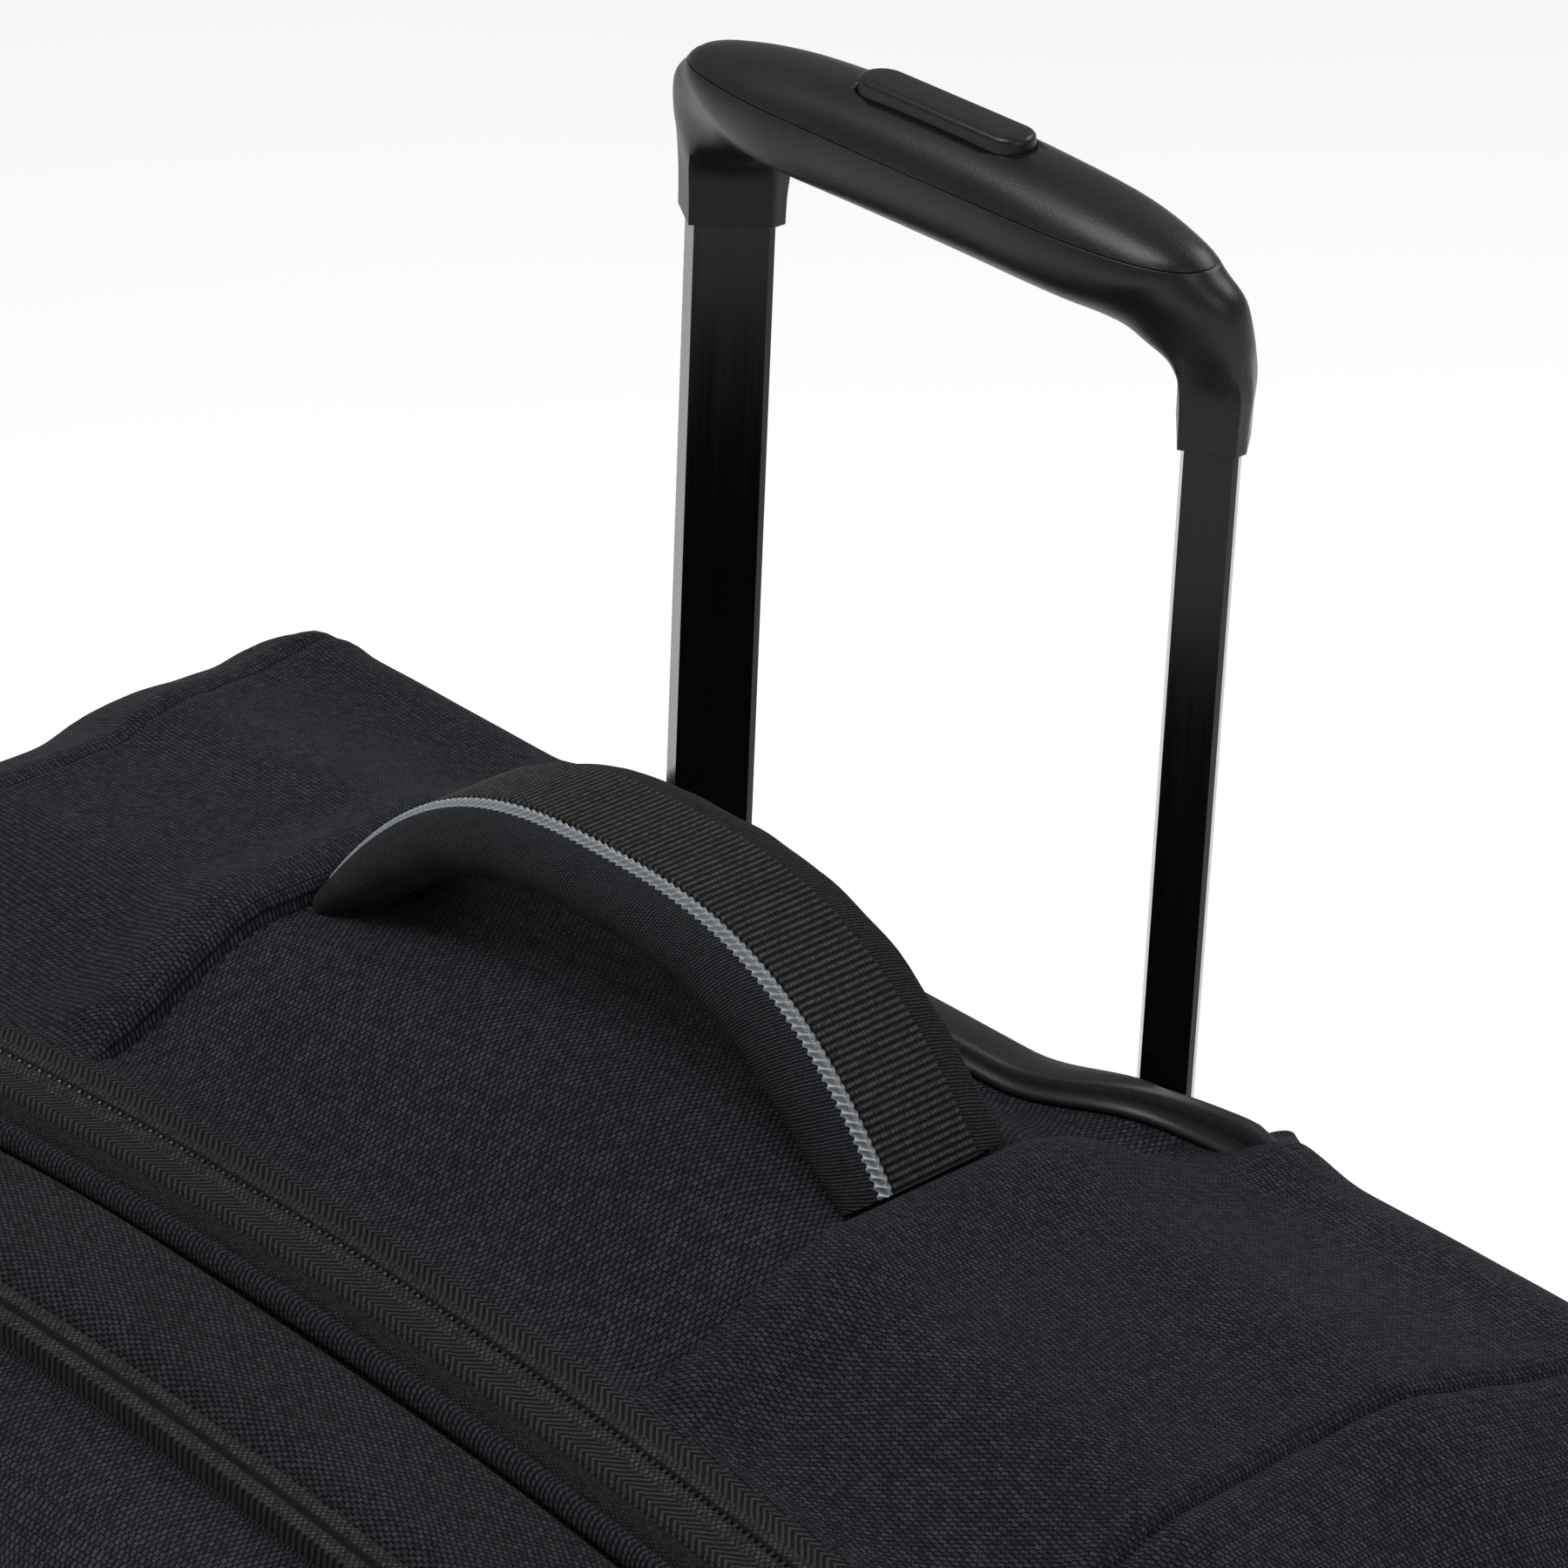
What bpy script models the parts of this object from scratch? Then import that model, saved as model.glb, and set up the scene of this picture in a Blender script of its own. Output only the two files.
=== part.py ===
"""A two-wheeled softside upright suitcase with a telescopic trolley handle, drawn part-extended.

Metres, +Z up. The origin is on the floor, at the middle of the case. -Y is the front, where the lid
opens, +Y is the back, where the trolley handle and the wheels are, and +X is to the right of
someone who faces the front.
"""

import math

import bmesh
import bpy

# Case: the fabric box, measured at its seams, and how far its faces swell between them.
MIDDLE_X = -0.0153  # the case's middle: the origin is under the middle of the whole, side handle included
HALF_WIDTH = 0.2230
TOP_Z = 0.6315
BOTTOM_Z = 0.0400
BOTTOM_CORNER_RADIUS = 0.036
TOP_ARCH = 0.50  # fall of the top edge in metres per square metre from the middle
TOP_SWELL = 0.0150
SIDE_SWELL = 0.0070
WALL = 0.0050
CENTRE_SEAM_X = 0.0800
OUTER_SEAM_X = 0.1740
GAP = 0.0003

# Depths along Y.
TUBE_Y = 0.1140  # front ridge of the trolley tubes
BACK_Y = TUBE_Y + 0.0195
ZIP_Y = TUBE_Y - 0.1590
LID_FRONT_Y = ZIP_Y - 0.0580
POCKET_FRONT_Y = -0.1400
LINER_Y = TUBE_Y - 0.0080
SWELL_FRONT_Y = ZIP_Y + 0.0120
SWELL_BACK_Y = TUBE_Y - 0.0040
SWELL_RUN = 0.0500  # depth over which the fabric rises from either edge to its full swell

# Trolley handle. Its tubes have an uneven six-sided section, the same on both sides but mirrored.
TUBE_X = 0.0685
RIDGE = (0.0, 0.0)
TUBE_SECTION = (
    RIDGE,
    (0.0107, 0.0110),
    (0.0107, 0.0127),
    (-0.0035, 0.0127),
    (-0.0081, 0.0067),
    (-0.0081, 0.0051),
)
TUBE_WALL = 0.0009
STAGE_STEP = 0.0013  # from one stage's outside to the next one's
HOUSING_Z = 0.6320
COLLAR_Z = 0.7750
INNER_LENGTH = 0.2800
MIDDLE_LENGTH = 0.2700
MIDDLE_TOP_Z = HOUSING_Z - 0.0090
OUTER_BOTTOM_Z = 0.1300
GRIP_HALF_WIDTH = 0.0805
GRIP_HEIGHT = 0.0460
BUTTON_HALF_LENGTH = 0.0225
BUTTON_HALF_WIDTH = 0.0050
PARTING_Z = COLLAR_Z + 0.0370  # where the grip's cover meets its lower shell

# Housing that the tubes come out of.
HOUSING_HALF_LENGTH = 0.1030
HOUSING_BOW = 0.0220  # how far its front edge bows forwards in the middle
HOUSING_DIP = 0.0110
DIP_HALF_WIDTH = 0.0340
DIP_SLOPE = 0.0460
HOUSING_SHOULDER_X = 0.0920
HOUSING_SHOULDER_DROP = 0.0080

# Wheels, feet and skids.
WHEEL_RADIUS = 0.0330
WHEEL_WIDTH = 0.0220
WHEEL_X = 0.1750
WHEEL_Y = 0.1000
AXLE_RADIUS = 0.0030
FOOT_X = 0.1500
FOOT_Y = -0.0190
FOOT_HALF_WIDTH = 0.0170
FOOT_HALF_DEPTH = 0.0110

# Top carry handle.
HANDLE_HALF_SPAN = 0.0805
HANDLE_END_Z = COLLAR_Z - 0.1280
HANDLE_RISE = 0.0380
HANDLE_FRONT_Y = TUBE_Y - 0.0910
HANDLE_BACK_Y = TUBE_Y - 0.0500
WEBBING_FRONT_Y = TUBE_Y - 0.0810
WEBBING_BACK_Y = TUBE_Y - 0.0592
HANDLE_PAD_THICKNESS = 0.0100

# Front pocket.
POCKET_FOOT_Z = 0.1400
POCKET_WALL = 0.0040
POCKET_SLIDER_Z = 0.4500

# Side carry handle, on the right.
SIDE_HANDLE_Z = 0.3400
SIDE_HANDLE_HALF_SPAN = 0.0950
SIDE_HANDLE_Y = ZIP_Y + 0.0750
SIDE_HANDLE_RISE = 0.0230

MATERIALS = {
    "fabric": ((0.018, 0.020, 0.026), 0.85, 0.0),
    "trim_fabric": ((0.012, 0.013, 0.017), 0.80, 0.0),
    "lining": ((0.090, 0.095, 0.105), 0.75, 0.0),
    "board": ((0.120, 0.120, 0.125), 0.70, 0.0),
    "webbing": ((0.020, 0.020, 0.022), 0.70, 0.0),
    "stripe": ((0.300, 0.320, 0.350), 0.50, 0.0),
    "moulding": ((0.016, 0.017, 0.020), 0.45, 0.0),
    "tube": ((0.008, 0.008, 0.009), 0.12, 0.6),
    "steel": ((0.420, 0.420, 0.430), 0.35, 1.0),
    "zip": ((0.012, 0.012, 0.014), 0.50, 0.0),
    "tyre": ((0.020, 0.020, 0.021), 0.75, 0.0),
    "hub": ((0.050, 0.050, 0.055), 0.40, 0.0),
}


def clear_scene():
    for obj in list(bpy.data.objects):
        bpy.data.objects.remove(obj)


def material(name):
    """The named material, made the first time it is asked for."""
    found = bpy.data.materials.get(name)
    if found:
        return found
    colour, roughness, metallic = MATERIALS[name]
    made = bpy.data.materials.new(name)
    made.use_nodes = True
    shader = made.node_tree.nodes["Principled BSDF"]
    shader.inputs["Base Color"].default_value = (*colour, 1.0)
    shader.inputs["Roughness"].default_value = roughness
    shader.inputs["Metallic"].default_value = metallic
    return made


def add(name, points, faces, slot, smooth_angle=None, origin=(0.0, 0.0, 0.0)):
    """A mesh object from points measured from the case's middle, with its own origin and outward faces."""
    shape = bmesh.new()
    verts = [shape.verts.new([p[i] - origin[i] for i in range(3)]) for p in points]
    for face in faces:
        shape.faces.new([verts[i] for i in face])
    bmesh.ops.recalc_face_normals(shape, faces=shape.faces)
    mesh = bpy.data.meshes.new(name)
    shape.to_mesh(mesh)
    shape.free()
    if smooth_angle is not None:
        mesh.shade_smooth()
        mesh.set_sharp_from_angle(angle=math.radians(smooth_angle))
    obj = bpy.data.objects.new(name, mesh)
    obj.location = (origin[0] + MIDDLE_X, origin[1], origin[2])
    mesh.materials.append(material(slot))
    bpy.context.scene.collection.objects.link(obj)
    return obj


def cutter(obj):
    obj.hide_render = True
    obj.display_type = "WIRE"
    return obj


def cut(obj, tool, operation="DIFFERENCE"):
    modifier = obj.modifiers.new(operation.lower(), "BOOLEAN")
    modifier.operation = operation
    modifier.object = tool
    modifier.solver = "EXACT"


def loft(name, rings, slot, closed=False, smooth_angle=None, origin=(0.0, 0.0, 0.0)):
    """A solid through rings of equally many points, capped at both ends unless it closes on itself."""
    size = len(rings[0])
    points = [p for ring in rings for p in ring]
    faces = []
    count = len(rings)
    for i in range(count if closed else count - 1):
        for j in range(size):
            a = i * size + j
            b = i * size + (j + 1) % size
            c = ((i + 1) % count) * size + (j + 1) % size
            d = ((i + 1) % count) * size + j
            faces.append((a, b, c, d))
    if not closed:
        faces.append(tuple(range(size)))
        faces.append(tuple(range((count - 1) * size, count * size)))
    return add(name, points, faces, slot, smooth_angle, origin)


def box(name, low, high, slot, origin=(0.0, 0.0, 0.0), bevel=0.0):
    rings = [
        [(low[0], low[1], z), (high[0], low[1], z), (high[0], high[1], z), (low[0], high[1], z)]
        for z in (low[2], high[2])
    ]
    obj = loft(name, rings, slot, origin=origin)
    if bevel:
        modifier = obj.modifiers.new("bevel", "BEVEL")
        modifier.width = bevel
        modifier.segments = 2
    return obj


def prism(name, outline, axis, start, end, slot, origin=(0.0, 0.0, 0.0), smooth_angle=None):
    """An outline of 2-D points extruded along an axis from start to end."""

    def place(p, at):
        return {"x": (at, p[0], p[1]), "y": (p[0], at, p[1]), "z": (p[0], p[1], at)}[axis]

    rings = [[place(p, at) for p in outline] for at in (start, end)]
    return loft(name, rings, slot, smooth_angle=smooth_angle, origin=origin)


def circle(centre, radius, count, start=0.0):
    steps = [start + 2 * math.pi * k / count for k in range(count)]
    return [(centre[0] + radius * math.cos(a), centre[1] + radius * math.sin(a)) for a in steps]


def rounded_square(count, squareness):
    """Points of a square of half side 1 whose corners are rounded, more so as squareness nears 1."""
    ring = []
    for x, y in circle((0.0, 0.0), 1.0, count):
        ring.append((math.copysign(abs(x) ** squareness, x), math.copysign(abs(y) ** squareness, y)))
    return ring


def disc(name, centre, radius, half_width, slot, count=24, hole=0.0, bevel=0.0, origin=None):
    """A wheel-like solid turned about X, with an optional bore."""
    y, z = centre[1], centre[2]
    profile = [(-half_width, radius - bevel), (-half_width + bevel, radius)]
    profile += [(half_width - bevel, radius), (half_width, radius - bevel)]
    profile += [(half_width, hole), (-half_width, hole)] if hole else []
    if not bevel:
        profile = [(-half_width, radius), (half_width, radius)] + profile[4:]
    turned = []
    for k in range(count):
        a = 2 * math.pi * k / count
        turned.append([(centre[0] + u, y + r * math.cos(a), z + r * math.sin(a)) for u, r in profile])
    if hole:
        return loft(name, turned, slot, closed=True, smooth_angle=40, origin=origin or centre)
    along = [[ring[i] for ring in turned] for i in range(len(profile))]
    return loft(name, along, slot, smooth_angle=40, origin=origin or centre)


def offset_outline(outline, distance):
    """A closed, counter-clockwise outline moved outwards by a distance, with mitred corners."""
    moved = []
    count = len(outline)
    for i in range(count):
        before, here, after = outline[i - 1], outline[i], outline[(i + 1) % count]
        ax, ay = here[0] - before[0], here[1] - before[1]
        bx, by = after[0] - here[0], after[1] - here[1]
        la, lb = math.hypot(ax, ay), math.hypot(bx, by)
        na, nb = (ay / la, -ax / la), (by / lb, -bx / lb)
        scale = distance / (1 + na[0] * nb[0] + na[1] * nb[1])
        moved.append((here[0] + (na[0] + nb[0]) * scale, here[1] + (na[1] + nb[1]) * scale))
    return moved


def arc(cx, cz, radius, start, end, steps):
    angles = [math.radians(start + (end - start) * k / steps) for k in range(steps + 1)]
    return [(cx + radius * math.cos(a), cz + radius * math.sin(a)) for a in angles]


def top_z(x):
    return TOP_Z - TOP_ARCH * x * x


# The corner's arc leaves the side upright and meets the arched top at its own slope.
CORNER_END = math.pi / 2 - math.atan(2 * TOP_ARCH * OUTER_SEAM_X)
TOP_CORNER_RADIUS = (HALF_WIDTH - OUTER_SEAM_X) / (1 - math.cos(CORNER_END))
CORNER_X = HALF_WIDTH - TOP_CORNER_RADIUS
CORNER_Z = top_z(OUTER_SEAM_X) - TOP_CORNER_RADIUS * math.sin(CORNER_END)


def right_side():
    """The right side's outline from the bottom seam up and over the corner to the outer seam."""
    low = arc(CORNER_X + TOP_CORNER_RADIUS - BOTTOM_CORNER_RADIUS, BOTTOM_Z + BOTTOM_CORNER_RADIUS,
              BOTTOM_CORNER_RADIUS, -90, 0, 4)
    high = arc(CORNER_X, CORNER_Z, TOP_CORNER_RADIUS, 0, math.degrees(CORNER_END), 6)
    heights = [low[-1][1] + (high[0][1] - low[-1][1]) * k / 4 for k in (1, 2, 3)]
    return low + [(HALF_WIDTH, z) for z in heights] + high


def seam_normal(point):
    """The outward normal where a stretch ends, on the flat bottom or on the arched top."""
    if point[1] < CORNER_Z:
        return (0.0, -1.0)
    slope = 2 * TOP_ARCH * point[0]
    return (slope / math.hypot(slope, 1.0), 1.0 / math.hypot(slope, 1.0))


def outline_normals(points):
    """Outward unit normals along an open stretch of the outline that runs counter-clockwise."""
    normals = []
    for i in range(len(points)):
        if i in (0, len(points) - 1):
            normals.append(seam_normal(points[i]))
            continue
        a, b = points[i - 1], points[i + 1]
        dx, dz = b[0] - a[0], b[1] - a[1]
        length = math.hypot(dx, dz)
        normals.append((dz / length, -dx / length))
    return normals


def eased(share):
    """A share from 0 to 1 that starts and ends level."""
    share = min(max(share, 0.0), 1.0)
    return share * share * (3 - 2 * share)


def swell(y, normal):
    """How far the fabric stands out of its seams at a depth. The bottom stays flat."""
    if normal[1] < -0.5:
        return 0.0
    rise = SIDE_SWELL + (TOP_SWELL - SIDE_SWELL) * max(normal[1], 0.0)
    return rise * eased(min(y - SWELL_FRONT_Y, SWELL_BACK_Y - y) / SWELL_RUN)


# The arched top straightens from here to here.
LIFT_FRONT_Y = 0.0450
LIFT_BACK_Y = 0.1180

# The body's section from the front edge to the back one: (y, how far inside the outline).
SWELL_STEPS = 9
BODY_STATIONS = [(ZIP_Y + 0.0006, 0.0)]
BODY_STATIONS += [
    (SWELL_FRONT_Y + (SWELL_BACK_Y - SWELL_FRONT_Y) * k / SWELL_STEPS, 0.0) for k in range(SWELL_STEPS + 1)
]
BODY_STATIONS += [(BACK_Y - 0.0140, 0.0), (BACK_Y - 0.0050, 0.0040), (BACK_Y - 0.0010, 0.0110), (BACK_Y, 0.0190)]


def back_lift(x, y, normal):
    """How far the top rises over its arch towards the straight back edge."""
    share = eased((y - LIFT_FRONT_Y) / (LIFT_BACK_Y - LIFT_FRONT_Y))
    return TOP_ARCH * x * x * share * max(normal[1], 0.0)


def shell_strip(name, stretch, stations, slot, wall=WALL):
    """A curved strip of the padded fabric box, between two seams, as a closed solid."""
    normals = outline_normals(stretch)
    rings = []
    for point, normal in zip(stretch, normals):
        outer, inner = [], []
        for y, inset in stations:
            out = swell(y, normal) - inset
            z = point[1] + back_lift(point[0], y, normal)
            outer.append((point[0] + normal[0] * out, y, z + normal[1] * out))
            back = out - wall
            inner.append((point[0] + normal[0] * back, min(y, BACK_Y - wall), z + normal[1] * back))
        rings.append(outer + inner[::-1])
    return loft(name, rings, slot, smooth_angle=35)


def trimmed(points, start, end):
    """An open stretch with its two ends drawn in by half a seam gap each."""
    points = list(points)

    def move(a, b):
        length = math.hypot(b[0] - a[0], b[1] - a[1])
        return (a[0] + (b[0] - a[0]) * GAP / length, a[1] + (b[1] - a[1]) * GAP / length)

    if start:
        points[0] = move(points[0], points[1])
    if end:
        points[-1] = move(points[-1], points[-2])
    return points


def top_stretch(right, left, steps):
    xs = [right + (left - right) * k / steps for k in range(steps + 1)]
    return [(x, top_z(x)) for x in xs]


def mirrored(points):
    return [(-x, z) for x, z in reversed(points)]


def housing_front(x):
    """The housing's front edge, which bows forwards before the tubes' middle."""
    share = min(abs(x) / HOUSING_HALF_LENGTH, 1.0)
    return TUBE_Y + 0.0040 - HOUSING_BOW * (1 - share ** 3.2)


def housing_top(x):
    """The housing's top, high round the tubes and dipping between them."""
    rise = eased((abs(x) - DIP_HALF_WIDTH) / DIP_SLOPE)
    end = max(abs(x) - HOUSING_SHOULDER_X, 0.0) / (HOUSING_HALF_LENGTH - HOUSING_SHOULDER_X)
    return HOUSING_Z + 0.0030 - HOUSING_DIP * (1 - rise) - HOUSING_SHOULDER_DROP * end ** 2


def housing_rings(grow, low, high=None):
    """Sections of the housing across X, or of the tool that makes room for it when grow is above 0."""
    rings = []
    reach = HOUSING_HALF_LENGTH + grow
    for k in range(21):
        x = -reach + 2 * reach * k / 20
        front = housing_front(x) - grow
        back = BACK_Y + (0.0006 if grow == 0 else 0.010)
        top = high if high else housing_top(x)
        if high:
            rings.append([(x, front, low), (x, front, top), (x, back, top), (x, back, low)])
            continue
        rings.append([
            (x, front, low), (x, front, top - 0.0060), (x, front + 0.0012, top - 0.0042),
            (x, front + 0.0060, top - 0.0004), (x, front + 0.0085, top), (x, back - 0.0050, top),
            (x, back - 0.0012, top - 0.0016), (x, back, top - 0.0050), (x, back, low),
        ])
    return rings


def case_body():
    side = right_side()
    room = cutter(loft("housing_room", housing_rings(0.0004, HOUSING_Z - 0.034, HOUSING_Z + 0.06), "board"))
    right_top = top_stretch(OUTER_SEAM_X, CENTRE_SEAM_X, 3)
    centre = top_stretch(CENTRE_SEAM_X, -CENTRE_SEAM_X, 6)
    bottom = [(-side[0][0], BOTTOM_Z), (0.0, BOTTOM_Z), (side[0][0], BOTTOM_Z)]
    pieces = {
        "side_panel_right": (trimmed(side, True, True), "fabric"),
        "side_panel_left": (mirrored(trimmed(side, True, True)), "fabric"),
        "top_panel_right": (trimmed(right_top, True, True), "fabric"),
        "top_panel_left": (mirrored(trimmed(right_top, True, True)), "fabric"),
        "top_panel_centre": (trimmed(centre, True, True), "fabric"),
        "bottom_panel": (trimmed(bottom, True, True), "trim_fabric"),
    }
    for name, (stretch, slot) in pieces.items():
        obj = shell_strip(name, stretch, BODY_STATIONS, slot)
        if name.startswith("top_panel"):
            cut(obj, room)
        if name in ("bottom_panel", "side_panel_right", "side_panel_left"):
            for sign in (-1, 1):
                cut(obj, wheel_room(sign))


def inset_loop(inset):
    """The whole outline as a closed loop, drawn in by an inset."""
    side = right_side()
    top = top_stretch(OUTER_SEAM_X, -OUTER_SEAM_X, 8)[1:-1]
    loop = side + top + mirrored(side)
    return offset_outline(loop, -inset)


def back_and_liner():
    room = bpy.data.objects["housing_room"]
    back = prism("back_panel", inset_loop(0.0245), "y", BACK_Y - 0.0038, BACK_Y - 0.0003, "board")
    cut(back, room)
    for sign in (-1, 1):
        cut(back, wheel_room(sign))
    liner = prism("liner_board", inset_loop(0.0250), "y", LINER_Y - 0.0020, LINER_Y, "lining")
    cut(liner, room)
    for sign in (-1, 1):
        cut(liner, wheel_room(sign))


def wire_ring(name, y, origin=(0.0, 0.0, 0.0)):
    """A round frame wire bent to the outline, lying against the inside of the wall."""
    radius = 0.0018
    loop = inset_loop(0.0095)
    rings = []
    count = len(loop)
    for i, (x, z) in enumerate(loop):
        ax, az = loop[i - 1]
        bx, bz = loop[(i + 1) % count]
        dx, dz = bx - ax, bz - az
        length = math.hypot(dx, dz)
        nx, nz = dz / length, -dx / length
        ring = []
        for k in range(6):
            a = 2 * math.pi * k / 6
            u, v = radius * math.cos(a), radius * math.sin(a)
            ring.append((x + nx * u, y + v, z + nz * u))
        rings.append(ring)
    return loft(name, rings, "steel", closed=True, smooth_angle=60, origin=origin)


# Wheels at the bottom back corners.


def wheel_room(sign):
    """The hollow that the wheel and its housing take out of the bottom back corner."""
    name = "wheel_room_right" if sign > 0 else "wheel_room_left"
    found = bpy.data.objects.get(name)
    if found:
        return found
    low = (sign * WHEEL_X - 0.0204, WHEEL_Y - 0.0454, -0.01)
    high = (sign * WHEEL_X + 0.0204, BACK_Y + 0.02, 0.0904)
    return cutter(box(name, low, high, "board"))


def wheels():
    for sign, side in ((-1, "left"), (1, "right")):
        x = sign * WHEEL_X
        housing = box(
            f"wheel_housing_{side}",
            (x - 0.0200, WHEEL_Y - 0.0450, 0.0260), (x + 0.0200, BACK_Y + 0.0020, 0.0900),
            "moulding", bevel=0.0040,
        )
        centre = (x, WHEEL_Y, WHEEL_RADIUS)
        arch = cutter(disc(f"wheel_arch_{side}", centre, WHEEL_RADIUS + 0.0045, 0.0135, "moulding", 28))
        cut(housing, arch)
        mouth = cutter(box(
            f"wheel_mouth_{side}",
            (x - 0.0135, WHEEL_Y - WHEEL_RADIUS - 0.0045, 0.0), (x + 0.0135, BACK_Y + 0.01, WHEEL_RADIUS),
            "moulding",
        ))
        cut(housing, mouth)
        bore = cutter(disc(f"axle_bore_{side}", centre, AXLE_RADIUS + GAP, 0.03, "moulding", 12))
        cut(housing, bore)
        disc(f"wheel_tyre_{side}", centre, WHEEL_RADIUS, WHEEL_WIDTH / 2, "tyre", 32, 0.0220, 0.0035)
        disc(f"wheel_hub_{side}", centre, 0.0220 - GAP, 0.0085, "hub", 24, AXLE_RADIUS + GAP)
        disc(f"wheel_axle_{side}", centre, AXLE_RADIUS, 0.0190, "steel", 12)


def feet_and_skids():
    for sign, side in ((-1, "left"), (1, "right")):
        x = sign * FOOT_X
        # It widens upwards to the flange that is screwed to the bottom.
        levels = (
            # height, half width, half depth
            (0.0, FOOT_HALF_WIDTH - 0.0020, FOOT_HALF_DEPTH - 0.0020),
            (0.0020, FOOT_HALF_WIDTH, FOOT_HALF_DEPTH),
            (BOTTOM_Z - 0.0140, FOOT_HALF_WIDTH + 0.0070, FOOT_HALF_DEPTH + 0.0020),
            (BOTTOM_Z - 0.0040, FOOT_HALF_WIDTH + 0.0130, FOOT_HALF_DEPTH + 0.0030),
            (BOTTOM_Z - GAP, FOOT_HALF_WIDTH + 0.0130, FOOT_HALF_DEPTH + 0.0030),
        )
        rings = [
            [(x + half * u, FOOT_Y + depth * v, z) for u, v in rounded_square(20, 0.45)]
            for z, half, depth in levels
        ]
        loft(f"foot_{side}", rings, "moulding", smooth_angle=40)
        skid_x = sign * 0.1250
        profile = [(BACK_Y + GAP, 0.1000), (BACK_Y + 0.0065, 0.1060), (BACK_Y + 0.0065, 0.3300),
                   (BACK_Y + 0.0040, 0.3360), (BACK_Y + GAP, 0.3400)]
        prism(f"back_skid_{side}", profile, "x", skid_x - 0.0060, skid_x + 0.0060, "moulding")


# Trolley handle.


def tube_outline(side, grow=0.0):
    """The tube's section on one side, moved outwards by grow."""
    outline = offset_outline(TUBE_SECTION, grow)
    placed = [(TUBE_X * side - x * side, TUBE_Y + y) for x, y in outline]
    return placed if side < 0 else placed[::-1]


def tube(name, side, grow, low, high):
    """A square-cut length of tube with an open bore."""
    outer = tube_outline(side, grow)
    inner = tube_outline(side, grow - TUBE_WALL)
    count = len(outer)
    points = [(*p, z) for ring in (outer, inner) for z in (low, high) for p in ring]
    faces = []
    for j in range(count):
        k = (j + 1) % count
        faces.append((j, k, count + k, count + j))
        faces.append((2 * count + j, 2 * count + k, 3 * count + k, 3 * count + j))
        faces.append((j, k, 2 * count + k, 2 * count + j))
        faces.append((count + j, count + k, 3 * count + k, 3 * count + j))
    return add(name, points, faces, "tube", origin=(TUBE_X * side, TUBE_Y, low))


def trolley_tubes():
    for sign, side in ((-1, "left"), (1, "right")):
        tube(f"outer_tube_{side}", sign, 2 * STAGE_STEP, OUTER_BOTTOM_Z, MIDDLE_TOP_Z - 0.0020)
        tube(f"middle_tube_{side}", sign, STAGE_STEP, MIDDLE_TOP_Z - MIDDLE_LENGTH, MIDDLE_TOP_Z)
        tube(f"inner_tube_{side}", sign, 0.0, COLLAR_Z - INNER_LENGTH, COLLAR_Z + 0.0100)
        bush = prism(
            f"middle_tube_bush_{side}", tube_outline(sign, STAGE_STEP), "z",
            MIDDLE_TOP_Z + GAP, MIDDLE_TOP_Z + 0.0060, "moulding",
        )
        hole = cutter(prism(
            f"bush_hole_{side}", tube_outline(sign, GAP), "z", MIDDLE_TOP_Z - 0.01, MIDDLE_TOP_Z + 0.02, "tube",
        ))
        cut(bush, hole)
        foot = box(
            f"tube_foot_{side}",
            (sign * TUBE_X - 0.0200, LINER_Y + 0.0004, OUTER_BOTTOM_Z - 0.0220),
            (sign * TUBE_X + 0.0200, BACK_Y - 0.0042, OUTER_BOTTOM_Z + 0.0180),
            "moulding",
        )
        socket = cutter(prism(
            f"tube_socket_{side}", tube_outline(sign, 2 * STAGE_STEP + 0.0002), "z",
            OUTER_BOTTOM_Z - 0.0003, OUTER_BOTTOM_Z + 0.03, "tube",
        ))
        cut(foot, socket)


def top_housing():
    housing = loft("trolley_housing", housing_rings(0.0, HOUSING_Z - 0.0330), "moulding", smooth_angle=30)
    for sign, side in ((-1, "left"), (1, "right")):
        hole = cutter(prism(
            f"housing_hole_{side}", tube_outline(sign, STAGE_STEP + 0.0004), "z",
            HOUSING_Z - 0.05, HOUSING_Z + 0.05, "tube",
        ))
        cut(housing, hole)
        seat = cutter(prism(
            f"housing_seat_{side}", tube_outline(sign, 2 * STAGE_STEP + 0.0004), "z",
            HOUSING_Z - 0.05, MIDDLE_TOP_Z - 0.0017, "tube",
        ))
        cut(housing, seat)


def grip_section(outer, inner, front, back, squareness):
    """A rounded section of the bar between an outer and an inner point, 16 points from the front."""
    ring = []
    for k in range(16):
        a = 2 * math.pi * k / 16
        c, s = math.cos(a), math.sin(a)
        depth = -math.copysign(abs(c) ** squareness, c)
        radial = -math.copysign(abs(s) ** squareness, s)
        share = (radial + 1) / 2
        y = (front + back) / 2 + depth * (back - front) / 2
        ring.append((inner[0] + (outer[0] - inner[0]) * share, y, inner[1] + (outer[1] - inner[1]) * share))
    return ring


def collar_section(grow, z):
    """The collar's section, 16 points round the left tube from its front ridge."""
    outline = offset_outline(TUBE_SECTION, grow)
    steps = (5, 1, 4, 2, 1, 3)
    ring = []
    for i, count in enumerate(steps):
        a, b = outline[i], outline[(i + 1) % len(outline)]
        for k in range(count):
            x = a[0] + (b[0] - a[0]) * k / count
            y = a[1] + (b[1] - a[1]) * k / count
            ring.append((-TUBE_X + x, TUBE_Y + y, z))
    return ring


def mixed(first, second, share):
    return [tuple(a + (b - a) * share for a, b in zip(p, q)) for p, q in zip(first, second)]


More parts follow.
